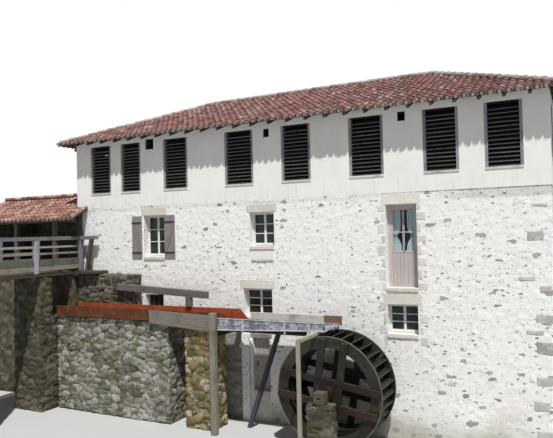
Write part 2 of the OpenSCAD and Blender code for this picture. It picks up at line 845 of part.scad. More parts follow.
module ground_door() color("gray")
  block([door_x + door_clear, leaf_y0, ground_z + door_clear],
    [door_w - 2 * door_clear, door_t, door_h - 2 * door_clear]);

module door_hinges() color("dimgray")
  for (z = hinge_zs)
    difference() {
      union() {
        block([pin_x - hinge_l, leaf_y0 + door_t, z], [hinge_l, barrel_r / 2, hinge_w]);
        translate([pin_x, pin_y, z]) cylinder(r = barrel_r, h = hinge_w, $fn = 32);
      }
      translate([pin_x, pin_y, z - through])
        cylinder(r = pin_r + pin_clear, h = hinge_w + 2 * through, $fn = 32);
    }

module door_pintles() color("dimgray")
  for (z = hinge_zs) {
    translate([pin_x, pin_y, z - pintle_drop])
      cylinder(r = pin_r, h = hinge_w + pintle_drop, $fn = 32);
    block([pin_x - pin_r, pin_y - pin_r, z - pintle_drop],
      [2 * door_clear + pin_r, 2 * pin_r, pintle_drop - 2 * pin_clear]);
  }

module door_lintel() color("dimgray")
  cuts_x([door_lintel_box], face_y, face_y + stone_d);

// Waterwheel, built about the Y axis from its near arms to its far arms
wheel_near_y = face_y - wheel_wall_gap - wheel_w;
wheel_far_y = face_y - wheel_wall_gap;
shaft_near_y = wheel_near_y - arm_t - shaft_out;
shaft_far_y = face_y + shaft_in;
module on_wheel(y) {
  translate([wheel_x, y, wheel_z]) rotate([0, wheel_turn, 0]) rotate([-90, 0, 0]) children();
}

module shroud(y) {
  on_wheel(y) rotate_extrude($fn = 120)
    translate([wheel_r - shroud_w, 0]) square([shroud_w, shroud_t]);
}

module near_shroud() color("saddlebrown") shroud(wheel_near_y);

module far_shroud() color("saddlebrown") shroud(wheel_far_y - shroud_t);

// Length of a bucket board whose outer corner ends at the radius out_r
function board_l(from_r, out_r) =
  let (c = cos(bucket_slope), b = c * (from_r + bucket_t * sin(bucket_slope)))
    sqrt(b * b - from_r * from_r - pow(bucket_t * c, 2) + out_r * out_r) - b;

// Straight sole boards between the shrouds, and a sloped board on each
module wheel_buckets() color("saddlebrown") {
  len = wheel_w - 2 * shroud_t - 2 * fit;
  half = 180 / bucket_count;
  in_r = wheel_r - shroud_w;
  top_r = in_r + bucket_t;
  board_r = top_r + fit + bucket_t * sin(bucket_slope);
  on_wheel(wheel_near_y + shroud_t + fit)
    for (i = [0:bucket_count - 1])
      rotate([0, 0, i * 2 * half]) {
        linear_extrude(len)
          polygon([[in_r, fit - in_r * tan(half)], [top_r, fit - top_r * tan(half)],
            [top_r, top_r * tan(half) - fit], [in_r, in_r * tan(half) - fit]]);
        translate([board_r, 0, 0]) rotate([0, 0, bucket_slope])
          cube([board_l(board_r, wheel_r - bucket_in), bucket_t, len]);
      }
}

// Two pairs of arms halved over each other round the shaft
module clasp_arms(y) {
  reach = sqrt(pow(wheel_r - arm_rim_gap, 2) - pow(arm_offset + arm_w / 2, 2));
  on_wheel(y)
    for (turn = [0, 90], side = [-1, 1])
      rotate([0, 0, turn])
        translate([-reach, side * arm_offset - arm_w / 2, 0])
          cube([2 * reach, arm_w, arm_t]);
}

near_arms_y = wheel_near_y - arm_t - fit;
far_arms_y = wheel_far_y + fit;
module near_arms() color("saddlebrown") clasp_arms(near_arms_y);

module far_arms() color("saddlebrown") clasp_arms(far_arms_y);

module wheel_shaft() color("saddlebrown") {
  seat = 2 * arm_offset - arm_w;
  on_wheel(shaft_near_y) {
    cylinder(r = shaft_r, h = shaft_far_y - shaft_near_y, $fn = 48);
    for (y = [near_arms_y, far_arms_y])
      translate([-seat / 2, -seat / 2, y - shaft_near_y]) cube([seat, seat, arm_t]);
  }
}

module shaft_irons() color("dimgray") {
  on_wheel(shaft_near_y - gudgeon_l) cylinder(r = gudgeon_r, h = gudgeon_l, $fn = 48);
  on_wheel(shaft_far_y) cylinder(r = gudgeon_r, h = gudgeon_l, $fn = 48);
}

pier_y = shaft_near_y - bearing_gap - bearing_w;
module wheel_pier() color("gray")
  block([wheel_x - wheel_pier_w / 2, pier_y - (wheel_pier_t - bearing_w) / 2, 0],
    [wheel_pier_w, wheel_pier_t, wheel_z - bearing_w / 2]);

module bearing_block(y, side, long) {
  difference() {
    block([wheel_x - side / 2, y, wheel_z - side / 2], [side, long, side]);
    on_wheel(y - through)
      cylinder(r = gudgeon_r + gudgeon_clear, h = long + 2 * through, $fn = 48);
  }
}

module wheel_bearings() color("dimgray") {
  bearing_block(pier_y, bearing_w, bearing_w);
  bearing_block(shaft_far_y + bearing_gap, shaft_hole - 2 * fit,
    face_y + wall_t - shaft_far_y - bearing_gap);
}

// Flume
walk_x = x0 + walk_past;
steel_x = walk_x + steel_start;
near_y = face_y - flume_near;
far_y = face_y - flume_far;
zinc_end = wheel_x - zinc_end_gap;
steel_z = zinc_z + zinc_t + trough_step;
skirt_end = arm_x - arm_side / 2 - skirt_clear;
// Height of the foot of the near side at a place along the zinc trough
function skirt_low(x) =
  zinc_z - skirt_drop * max(0, skirt_end - x) / (skirt_end - zinc_x);

module steel_trough() color("firebrick") {
  outer = [steel_end_x - steel_x, flume_near - flume_far - 2 * steel_in, steel_h];
  difference() {
    block([steel_x, near_y + steel_in, steel_z], outer);
    block([steel_x - through, near_y + steel_in + steel_t, steel_z + steel_t],
      [outer[0] + 2 * through, outer[1] - 2 * steel_t, steel_h]);
    translate([0, near_y, 0]) rotate([90, 0, 0]) translate([0, 0, -flume_near])
      linear_extrude(2 * flume_near)
        polygon([[steel_end_x, steel_z + steel_t], [steel_end_x + through, steel_z + steel_t],
          [steel_end_x + through, steel_z + steel_h + through],
          [steel_end_x - steel_slant, steel_z + steel_h + through],
          [steel_end_x - steel_slant, steel_z + steel_h]]);
  }
}

module zinc_trough() color("lightslategray") {
  len = zinc_end - zinc_x;
  top = zinc_z + zinc_h;
  block([zinc_x, near_y + zinc_t, zinc_z], [len, far_y - near_y - zinc_t, zinc_t]);
  block([zinc_x, far_y - zinc_t, zinc_z], [len, zinc_t, zinc_far_h]);
  translate([0, near_y + zinc_t, 0]) rotate([90, 0, 0]) linear_extrude(zinc_t)
    polygon([[zinc_x, skirt_low(zinc_x)], [skirt_end, zinc_z], [zinc_end, zinc_z],
      [zinc_end, top], [zinc_x, top]]);
}

module trough_boards() color("gray") {
  top = steel_z + steel_h - near_board_drop;
  right = post_x - post_w / 2 - near_board_gap;
  translate([0, near_y + steel_in, 0]) rotate([90, 0, 0]) linear_extrude(far_board_t)
    polygon([[near_board_x, top - near_board_h],
      [right, top - near_board_fall - near_board_end_h],
      [right, top - near_board_fall], [near_board_x, top]]);
  block([steel_end_x, far_y, zinc_z + zinc_t],
    [zinc_end + far_board_past - steel_end_x, far_board_t, zinc_h + far_board_rise - zinc_t]);
}

// Distances of the straps from the left end of the zinc trough
strap_places = [870, 2240, 2990];
module trough_straps() color("dimgray")
  for (along = strap_places) {
    x = zinc_x + along - strap_w / 2;
    low = skirt_low(x) - strap_drop;
    block([x, near_y - strap_t, low], [strap_w, strap_t, zinc_z + zinc_h - low]);
  }

post_x = zinc_x - post_back;
near_post_y = near_y - post_w;
cross_z = zinc_z - beam_h;
module flume_bearers() color("dimgray") {
  block([post_x - post_w / 2, near_y, cross_z - beam_h], [post_w, flume_near, beam_h]);
  for (y = [near_y + beam_inset, far_y - beam_inset - beam_w])
    block([post_x - post_w / 2, y, cross_z], [beam_end_x - post_x + post_w / 2, beam_w, beam_h]);
  block([arm_x - arm_side / 2, face_y - arm_reach, zinc_z - arm_side],
    [arm_side, arm_reach, arm_side]);
}

module flume_posts() color("gray") {
  block([post_x - post_w / 2, near_post_y, 0], [post_w, post_w, steel_z + steel_h]);
  block([arm_x - arm_side / 2, face_y - arm_reach, 0], [arm_side, arm_side, zinc_z - arm_side]);
  prop_y = far_y - beam_inset - beam_w;
  intersection() {
    translate([prop_x, prop_y, cross_z]) rotate([0, 180 + prop_lean, 0])
      translate([-prop_w / 2, 0, -prop_w]) cube([prop_w, prop_w, 2 * cross_z]);
    block([prop_x - cross_z, prop_y, 0], [2 * cross_z, prop_w, cross_z]);
  }
}

// Masonry
abut_far = flume_far;
module flume_abutment() color("darkgray") {
  top = steel_z;
  block([walk_x, face_y - abut_near, 0],
    [abut_end_x - walk_x, abut_near - abut_far, top]);
  block([walk_x, face_y - abut_far, 0], [ledge_end_x - walk_x, abut_far, walk_z - deck_t]);
  block([short_abut_x, face_y - abut_near, 0],
    [post_x - post_w / 2 - short_abut_x - abut_gap, abut_near - short_abut_far, top]);
}

// Two walls under the walk, and the bed of the race beside them
walk_x0 = walk_x - walk_w;
shed_front_y = face_y - shed_post_out - shed_post;
module race_walls() color("darkgray") {
  for (y = [face_y - walk_len, near_y - race_wall_t])
    block([walk_x0, y, 0], [walk_w, race_wall_t, walk_z - deck_t]);
  block([walk_x0, near_y, 0], [walk_w, shed_front_y - near_y, steel_z]);
}

module sluice_deck() color("gray") {
  block([walk_x0, face_y - walk_len, walk_z - deck_t],
    [walk_w, shed_front_y - face_y + walk_len, deck_t]);
  block([walk_x, shed_front_y, walk_z - deck_t], [return_len, face_y - shed_front_y, deck_t]);
}

// A railing on one side of the walk, len long from its front end
rail_z = walk_z + rail_h - rail_top_t;
module railing_side(x, len) {
  bays = 2;
  for (i = [0:bays])
    block([x, face_y - walk_len + i * (len - rail_post) / bays, walk_z],
      [rail_post, rail_post, rail_h - rail_top_t]);
  block([x, face_y - walk_len, rail_z], [rail_post, len, rail_top_t]);
  for (z = [low_slat_z, high_slat_z])
    block([x + (rail_post - rail_slat_t) / 2, face_y - walk_len, walk_z + z],
      [rail_slat_t, len, rail_slat_h]);
  block([x + (rail_post - rail_slat_t) / 2, face_y - walk_len, walk_z + rail_panel_z],
    [rail_slat_t, len, rail_panel_h]);
}

// The rail that turns along the ledge, on a post that leans with it
return_y = shed_front_y + rail_in;
return_end = walk_x + return_len;
rail_end = return_end - rail_short;
module sluice_railing() color("gray") {
  railing_side(walk_x - rail_post, return_y + rail_post - face_y + walk_len);
  railing_side(walk_x0, shed_front_y - rail_in - face_y + walk_len);
  block([walk_x - rail_post, return_y, rail_z],
    [rail_end - walk_x + rail_post, rail_post, rail_top_t]);
  intersection() {
    translate([rail_end - rail_foot, return_y, walk_z]) rotate([0, rail_lean, 0])
      translate([0, 0, -lean_post]) cube([lean_post, lean_post, 2 * rail_h]);
    block([walk_x, return_y, walk_z], [return_len, rail_post, rail_h - rail_top_t]);
  }
}

// Gate beam beside the trough, falling to the right, on one post
module sluice_beam() color("gray") {
  foot = steel_z + steel_h;
  translate([gate_post_x, far_y, 0]) rotate([90, 0, 0]) linear_extrude(gate_t) {
    translate([0, gate_z]) rotate(-gate_slope)
      translate([(gate_x - gate_post_x) / cos(gate_slope), 0])
        square([(gate_end_x - gate_x) / cos(gate_slope), gate_h]);
    translate([0, foot]) square([gate_post_w, gate_z + gate_h / 2 - foot]);
  }
}

module leaning_rod(foot, lean, long)
  translate(foot + [0, 0, rod_r * sin(lean)]) rotate([0, -lean, 0])
    cylinder(r = rod_r, h = long, $fn = 24);

// Two rods that lean, the longer one just below the end of the gate beam
module iron_rods() color("dimgray") {
  beam_dx = rod_x - gate_x;
  beam_dz = gate_z + (gate_post_x - gate_x) * tan(gate_slope) - steel_z - rod_r;
  lean = atan2(beam_dx, beam_dz) + asin((rod_r + rod_gap) / norm([beam_dx, beam_dz]));
  leaning_rod([rod_x, far_y - steel_in / 2, steel_z], lean, rod_l);
  leaning_rod([rail_end - deck_rod_in, return_y - rod_r - fit, walk_z],
    deck_rod_lean, deck_rod_l);
}

// Sluice shed
shed_x0 = x0 - shed_len;
shed_x1 = x0 + shed_past;
shed_eave_y = face_y - shed_front;
shed_ridge = face_y + shed_ridge_y;
shed_tan = tan(shed_pitch);
shed_span = shed_ridge_y + shed_front;
shed_back = shed_ridge + shed_span;
shed_rise = shed_span * shed_tan;
shed_back_wall_y = shed_back - shed_back_out - shed_wall_t;
shed_wall_x = shed_x0 + shed_verge;
shed_in_x = shed_wall_x + shed_wall_t;
shed_floor_z = walk_z;

module under_shed_roof(lift)
  translate([shed_x0, 0, 0]) rotate([90, 0, 90])
    linear_extrude(shed_x1 - shed_x0)
      polygon([[shed_eave_y, 0], [shed_back, 0], [shed_back, shed_eave_z + lift],
        [shed_ridge, shed_eave_z + lift + shed_rise], [shed_eave_y, shed_eave_z + lift]]);

module shed_roof() color("indianred")
  difference() {
    under_shed_roof(shed_roof_t);
    under_shed_roof(0);
    block([x0 - render_proud, face_y - render_proud, 0],
      [mill_len, mill_depth, eave_z]);
    linear_extrude(eave_z) polygon([[shed_x1, shed_eave_y], [shed_x1 + through, shed_eave_y],
      [shed_x1 + through, face_y], [shed_x1 - shed_skew, face_y]]);
  }

module shed_ridge_tiles() color("peru")
  difference() {
    translate([shed_x0, shed_ridge, shed_eave_z + shed_roof_t + shed_rise])
      rotate([0, 90, 0])
        cylinder(r = shed_ridge_r, h = x0 - render_proud - shed_x0, $fn = 24);
    under_shed_roof(shed_roof_t);
  }

module shed_walls() color("darkgray")
  intersection() {
    union() {
      block([shed_wall_x, shed_back_wall_y, 0], [x0 - shed_wall_x, shed_wall_t, eave_z]);
      block([shed_wall_x, shed_front_y, 0],
        [shed_wall_t, shed_back_wall_y - shed_front_y, eave_z]);
    }
    under_shed_roof(0);
  }

// A retaining wall along the race, and the floor behind it
module shed_floor() color("dimgray") {
  block([shed_in_x, shed_front_y, 0],
    [walk_x - shed_in_x, face_y - shed_front_y, shed_floor_z]);
  block([shed_in_x, face_y, shed_floor_z - shed_slab_t],
    [x0 - shed_in_x, shed_back_wall_y - face_y, shed_slab_t]);
}

module shed_posts() color("dimgray") {
  plate_z = shed_eave_z + (shed_front_y - shed_eave_y) * shed_tan;
  last_x = x0 - shed_post_gap - shed_post;
  for (i = [0:shed_post_count - 1])
    block([last_x - i * shed_post_step, shed_front_y, shed_floor_z],
      [shed_post, shed_post, plate_z - shed_post - shed_floor_z]);
  block([shed_in_x, shed_front_y, plate_z - shed_post],
    [shed_x1 - plate_short - shed_in_x, shed_post, shed_post]);
  intersection() {
    block([x0 + corner_post_in, face_y - shed_post, shed_floor_z],
      [shed_post, shed_post, string_z - shed_floor_z]);
    under_shed_roof(0);
  }
}

front_wall_lower_left();
front_wall_lower_right();
door_threshold();
front_wall();
back_wall();
left_wall();
right_wall();
loft_front_wall();
loft_back_wall();
loft_end_walls();
ground_floor();
first_floor();
loft_floor();
roof_front();
roof_back();
roof_ends();
ridge_tiles();
rafter_tails();
front_louvres();
back_louvres();
end_louvres();
window_frames();
window_glass();
lintels();
sills();
upper_door();
shutters();
ground_door();
door_hinges();
door_pintles();
door_lintel();
near_shroud();
far_shroud();
wheel_buckets();
near_arms();
far_arms();
wheel_shaft();
shaft_irons();
wheel_pier();
wheel_bearings();
steel_trough();
zinc_trough();
trough_boards();
trough_straps();
flume_bearers();
flume_posts();
flume_abutment();
race_walls();
sluice_deck();
sluice_railing();
sluice_beam();
iron_rods();
shed_walls();
shed_floor();
shed_posts();
shed_roof();
shed_ridge_tiles();
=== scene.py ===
"""Looks of the watermill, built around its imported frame."""

import math
import random

import bmesh
import bpy
from mathutils import Matrix, Vector, noise


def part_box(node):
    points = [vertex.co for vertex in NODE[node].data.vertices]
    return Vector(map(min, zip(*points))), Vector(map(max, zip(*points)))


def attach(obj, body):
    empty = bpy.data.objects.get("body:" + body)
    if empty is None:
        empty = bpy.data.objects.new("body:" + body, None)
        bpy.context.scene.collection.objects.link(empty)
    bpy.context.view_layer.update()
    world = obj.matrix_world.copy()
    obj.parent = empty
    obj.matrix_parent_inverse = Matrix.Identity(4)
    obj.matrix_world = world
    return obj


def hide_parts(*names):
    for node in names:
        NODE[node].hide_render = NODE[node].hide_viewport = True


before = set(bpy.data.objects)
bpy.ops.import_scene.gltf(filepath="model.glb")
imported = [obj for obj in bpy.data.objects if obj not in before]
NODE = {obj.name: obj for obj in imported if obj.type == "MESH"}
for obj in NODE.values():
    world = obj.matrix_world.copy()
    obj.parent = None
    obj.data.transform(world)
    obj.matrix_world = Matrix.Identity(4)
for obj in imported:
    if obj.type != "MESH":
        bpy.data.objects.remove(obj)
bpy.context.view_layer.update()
random.seed(7)
noise.seed_set(7)

# Places and sizes read from the frame, in metres
SITE_LOW = Vector([min(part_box(name)[0][i] for name in NODE) for i in range(3)])
SITE_HIGH = Vector([max(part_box(name)[1][i] for name in NODE) for i in range(3)])
WALL_LOW, WALL_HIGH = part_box("front_wall")
WALL_LEFT = WALL_LOW.x
WALL_RIGHT = WALL_HIGH.x
FRONT_Y = WALL_LOW.y
BACK_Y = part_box("back_wall")[1].y
LOFT_Z = WALL_HIGH.z
LOWER_WALL_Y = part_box("front_wall_lower_left")[0].y
ROOF_LOW, ROOF_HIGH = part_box("roof_front")
ROOF_BACK_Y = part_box("roof_back")[1].y
RIDGE_Y = ROOF_HIGH.y
RIDGE_X = -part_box("roof_ends")[0].x - (RIDGE_Y - ROOF_LOW.y)
ROOF_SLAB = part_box("ridge_tiles")[0].z - ROOF_LOW.z
ROOF_RISE = ROOF_HIGH.z - ROOF_LOW.z - ROOF_SLAB
WHEEL_LOW, WHEEL_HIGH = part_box("near_shroud")
WHEEL_X = (WHEEL_LOW.x + WHEEL_HIGH.x) / 2
WHEEL_Z = (WHEEL_LOW.z + WHEEL_HIGH.z) / 2
WHEEL_R = (WHEEL_HIGH.x - WHEEL_LOW.x) / 2
TROUGH_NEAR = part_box("steel_trough")[0].y
ZINC_LOW, ZINC_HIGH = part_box("zinc_trough")

# Driving sizes of what the frame doesn't hold, in metres
TILE_PITCH = 0.22
TILE_COURSE = 0.335
TILE_LENGTH = 0.43
TILE_TILT = 0.055
COVER_RISE = 0.70
PAN_RISE = 0.42
CAP_RADIUS = 0.085
CAP_COURSE = 0.36
ROOF_BOARD = 0.22
SHED_SLAB = 0.13
RUBBLE_RELIEF = 0.008
LOFT_SWELL = 0.014
FRONT_GRID = 0.042
WALL_GRID = 0.06
SLAT_PITCH = 0.116
SLAT_SLOPE = math.radians(36)
LOW_WINDOW = 0.65
CURTAIN_FULLNESS = 1.3
RAIL_POST = 0.16
FELLOES = 8
WHEEL_TURN = math.radians(8.5)
SMALL_PILE = 1500

# Light, floor and camera
SUN_STRENGTH = 4.5
SUN_COLOUR = (1.0, 0.985, 0.96)
SUN_WIDTH = math.radians(1.5)
SUN_BEARING = math.radians(36.5)
SUN_RISE = math.radians(62)
SOFT_LIGHT = ((0.86, 0.93, 1.0), 0.22)
WHITE_LIGHT = ((1, 1, 1), 1.0)
FLOOR_COLOUR = (0.46, 0.46, 0.46)
SENSOR = 36
FOCAL_PIXELS = 597
PICTURE_PIXELS = 553
CAMERA_PLACE = (8.825, -16.99, 5.95)
CAMERA_TURNS = ((27.13, "Z"), (91.33, "X"), (-1.36, "Z"))


# Small helpers


def smooth(low, high, value):
    """0 at low, 1 at high, and a soft step between."""
    t = min(1.0, max(0.0, (value - low) / (high - low)))
    return t * t * (3 - 2 * t)


def chance(point, salt=0.0):
    """A steady number from 0 to 1 that belongs to a point."""
    value = math.sin(point.x * 12.9898 + point.y * 78.233 + point.z * 37.719 + salt) * 43758.5453
    return value - math.floor(value)


def new_shape():
    """An empty mesh in the making, with the marks that the materials read."""
    shape = bmesh.new()
    for mark in ("tone", "bare", "joint", "old"):
        shape.verts.layers.float.new(mark)
    return shape


def place_object(name, data):
    """A new object in the scene."""
    made = bpy.data.objects.new(name, data)
    bpy.context.scene.collection.objects.link(made)
    return made


def mesh_of(shape, name):
    """Ends a shape and returns it as a mesh."""
    mesh = bpy.data.meshes.new(name)
    shape.to_mesh(mesh)
    shape.free()
    return mesh


def add_shape(whole, part):
    """Ends a shape and adds it to another."""
    mesh = mesh_of(part, "added")
    whole.from_mesh(mesh)
    bpy.data.meshes.remove(mesh)


def add_piece(name, shape, materials, body, nodes=()):
    """Turns a finished shape into a piece that rides on a body, kept inside the mill's bounds."""
    for vert in shape.verts:
        vert.co = [min(max(c, low), high) for c, low, high in zip(vert.co, SITE_LOW, SITE_HIGH)]
    mesh = mesh_of(shape, name)
    for material in materials:
        mesh.materials.append(material)
    piece = place_object(name, mesh)
    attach(piece, body)
    if nodes:
        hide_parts(*nodes)
    return piece


def soften(piece, degrees=40):
    """Smooth shading, kept sharp at edges steeper than some degrees."""
    piece.data.shade_smooth()
    shape = bmesh.new()
    shape.from_mesh(piece.data)
    for edge in shape.edges:
        if len(edge.link_faces) == 2:
            edge.smooth = edge.calc_face_angle() < math.radians(degrees)
    shape.to_mesh(piece.data)
    shape.free()
    return piece


def turn_out(shape, outward):
    """Makes the faces of an open shape look one way."""
    bmesh.ops.recalc_face_normals(shape, faces=shape.faces)
    if sum((f.normal for f in shape.faces), Vector()).dot(outward) < 0:
        bmesh.ops.reverse_faces(shape, faces=shape.faces)


def cut_off(shape, point, normal, side="clear_outer"):
    """Cuts a shape along a plane and takes away what lies on one side of it."""
    bmesh.ops.bisect_plane(shape, geom=shape.verts[:] + shape.edges[:] + shape.faces[:],
                           plane_co=point, plane_no=normal, **{side: True})


class Pile:
    """Many small closed shapes gathered in one mesh, each with its own tone."""

    def __init__(self):
        self.whole = new_shape()
        self.small = new_shape()

    def settle(self):
        """Moves the shapes made last into the whole, so that each new one is made quickly."""
        add_shape(self.whole, self.small)
        self.small = new_shape()

    def mark(self, verts, tone, paint):
        """Gives one shape its tone, drawn at random where none is given, and its material."""
        layer = self.small.verts.layers.float["tone"]
        value = random.random() if tone is None else tone
        for vert in verts:
            vert[layer] = value
            for face in vert.link_faces:
                face.material_index = paint
        if len(self.small.verts) > SMALL_PILE:
            self.settle()

    def shift(self):
        """A step in the noise that differs from shape to shape."""
        return Vector(((len(self.small.verts) + len(self.whole.verts)) * 0.37, 0, 0))

    def cube(self, low, high):
        """A plain block between two corners, and its least side."""
        low = Vector(low)
        high = Vector(high)
        size = high - low
        made = bmesh.ops.create_cube(self.small, size=1.0)["verts"]
        bmesh.ops.scale(self.small, vec=size, verts=made)
        bmesh.ops.translate(self.small, vec=(low + high) / 2, verts=made)
        return made, min(size)

    def block(self, low, high, edge=0.006, tone=None, paint=0, place=None, wear=0.0):
        """A block with softened edges. place turns or moves it, and wear makes it uneven."""
        made, least = self.cube(low, high)
        reach = min(edge, 0.35 * least)
        if reach > 0:
            edges = list({e for v in made for e in v.link_edges})
            cut = bmesh.ops.bevel(self.small, geom=edges, offset=reach, segments=1,
                                  profile=0.5, affect="EDGES", material=-1)
            made = list({v for f in cut["faces"] for v in f.verts})
        if wear:
            shift = self.shift()
            for vert in made:
                vert.co += noise.noise_vector(vert.co * 3.1 + shift) * wear
        if place is not None:
            bmesh.ops.transform(self.small, matrix=place, verts=made)
        self.mark(made, tone, paint)

    def rod(self, start, end, radius, sides=10, tone=None, paint=0, flat=1.0):
        """A round bar between two points, flat times as high as it is wide."""
        start = Vector(start)
        end = Vector(end)
        line = end - start
        turn = line.to_track_quat("Z", "Y").to_matrix().to_4x4()
        shape = Matrix.Diagonal((1, flat, 1, 1))
        made = bmesh.ops.create_cone(
            self.small, cap_ends=True, segments=sides, radius1=radius, radius2=radius,
            depth=line.length, matrix=Matrix.Translation((start + end) / 2) @ turn @ shape)["verts"]
        self.mark(made, tone, paint)

    def stone(self, low, high, edge=0.02, rough=0.012, tone=None, paint=0, place=None):
        """A dressed or rough stone: a block cut finer, with its faces made uneven."""
        self.settle()
        shift = self.shift()
        made = self.small
        least = self.cube(low, high)[1]
        bmesh.ops.bevel(made, geom=made.edges[:], offset=min(edge, 0.3 * least), segments=2,
                        profile=0.5, affect="EDGES", material=-1)
        long_edges = [e for e in made.edges if e.calc_length() > 0.12]
        if long_edges:
            bmesh.ops.subdivide_edges(made, edges=long_edges, cuts=2, use_grid_fill=True)
        for vert in made.verts:
            vert.co += noise.noise_vector(vert.co * 4.3 + shift) * rough
        if place is not None:
            bmesh.ops.transform(made, matrix=place, verts=made.verts)
        self.mark(made.verts[:], tone, paint)

    def pour(self, shape):
        """Ends the pile and adds it to another shape."""
        self.settle()
        add_shape(shape, self.whole)
        self.small.free()

    def piece(self, name, materials, body, slot, nodes=()):
        """Ends the pile and makes it a piece."""
        self.settle()
        self.small.free()
        return add_piece(name, self.whole, materials, body, nodes)


def merged(node):
    """A copy of a CAD node with its loose triangles joined into whole faces."""
    shape = new_shape()
    shape.from_mesh(NODE[node].data)
    bmesh.ops.remove_doubles(shape, verts=shape.verts, dist=1e-5)
    bmesh.ops.dissolve_limit(shape, angle_limit=0.01, verts=shape.verts, edges=shape.edges)
    return shape


def joined(first):
    """All the vertices that hang together with one of them."""
    group = {first}
    reach = [first]
    while reach:
        for edge in reach.pop().link_edges:
            for vert in edge.verts:
                if vert not in group:
                    group.add(vert)
                    reach.append(vert)
    return group


def islands(shape):
    """The groups of vertices that hang together."""
    left = dict.fromkeys(shape.verts)
    groups = []
    while left:
        group = joined(next(iter(left)))
        for vert in group:
            del left[vert]
        groups.append(list(group))
    return groups


def box_of(verts):
    """Lowest and highest corner of some vertices."""
    low = Vector([min(v.co[i] for v in verts) for i in range(3)])
    high = Vector([max(v.co[i] for v in verts) for i in range(3)])
    return low, high


def boxes(node):
    """(lowest corner, highest corner) of each loose part of a CAD node, from left to right."""
    shape = merged(node)
    found = [box_of(group) for group in islands(shape)]
    shape.free()
    return sorted(found, key=lambda b: (round(b[0].x, 3), round(b[0].y, 3), round(b[0].z, 3)))


def worn_copy(name, node, materials, body, edge=0.008, wear=0.0, pick=None):
    """A copy of a CAD node with worn edges, each loose part with its own tone.
    pick gives the number of a part's material from the middle of its box."""
    shape = merged(node)
    layer = shape.verts.layers.float["tone"]
    for group in islands(shape):
        value = random.random()
        low, high = box_of(group)
        number = pick((low + high) / 2) if pick else 0
        for vert in group:
            vert[layer] = value
            for face in vert.link_faces:
                face.material_index = number
    sharp = [e for e in shape.edges if len(e.link_faces) == 2 and e.calc_face_angle() > 0.5]
    bmesh.ops.bevel(shape, geom=sharp, offset=edge, segments=1, profile=0.5,
                    affect="EDGES", clamp_overlap=True, material=-1)
    if wear:
        for vert in shape.verts:
            vert.co += noise.noise_vector(vert.co * 2.3) * wear
    bmesh.ops.recalc_face_normals(shape, faces=shape.faces)
    return add_piece(name, shape, materials, body, [node])


def frame_at(across, inward, up, point):
    """Matrix of a frame at a point, from its three axes."""
    return Matrix((*zip(across, inward, up, point), (0, 0, 0, 1)))


def timber(name, node, materials, edge=0.012, wear=0.004, pick=None):
    """A worn copy of a node of grey timber that stays with the mill."""
    worn_copy(name, node, materials, "mill", edge, wear, pick)


def facing(box):
    """How a part set in a wall looks out: its side, its own frame (across, inwards, up) and its size."""
    low, high = box
    sides = {
        "front": (abs(low.y - FRONT_Y), (low.x, low.y), (1, 0, 0), (0, 1, 0)),
        "back": (abs(high.y - BACK_Y), (high.x, high.y), (-1, 0, 0), (0, -1, 0)),
        "left": (abs(low.x - WALL_LEFT), (low.x, high.y), (0, -1, 0), (1, 0, 0)),
        "right": (abs(high.x - WALL_RIGHT), (high.x, low.y), (0, 1, 0), (-1, 0, 0)),
    }
    side = min(sides, key=lambda name: sides[name][0])
    _, corner, across, inward = sides[side]
    size = high - low
    width, depth = (size.x, size.y) if across[0] else (size.y, size.x)
    return side, frame_at(across, inward, (0, 0, 1), (*corner, low.z)), width, depth, size.z


# Materials


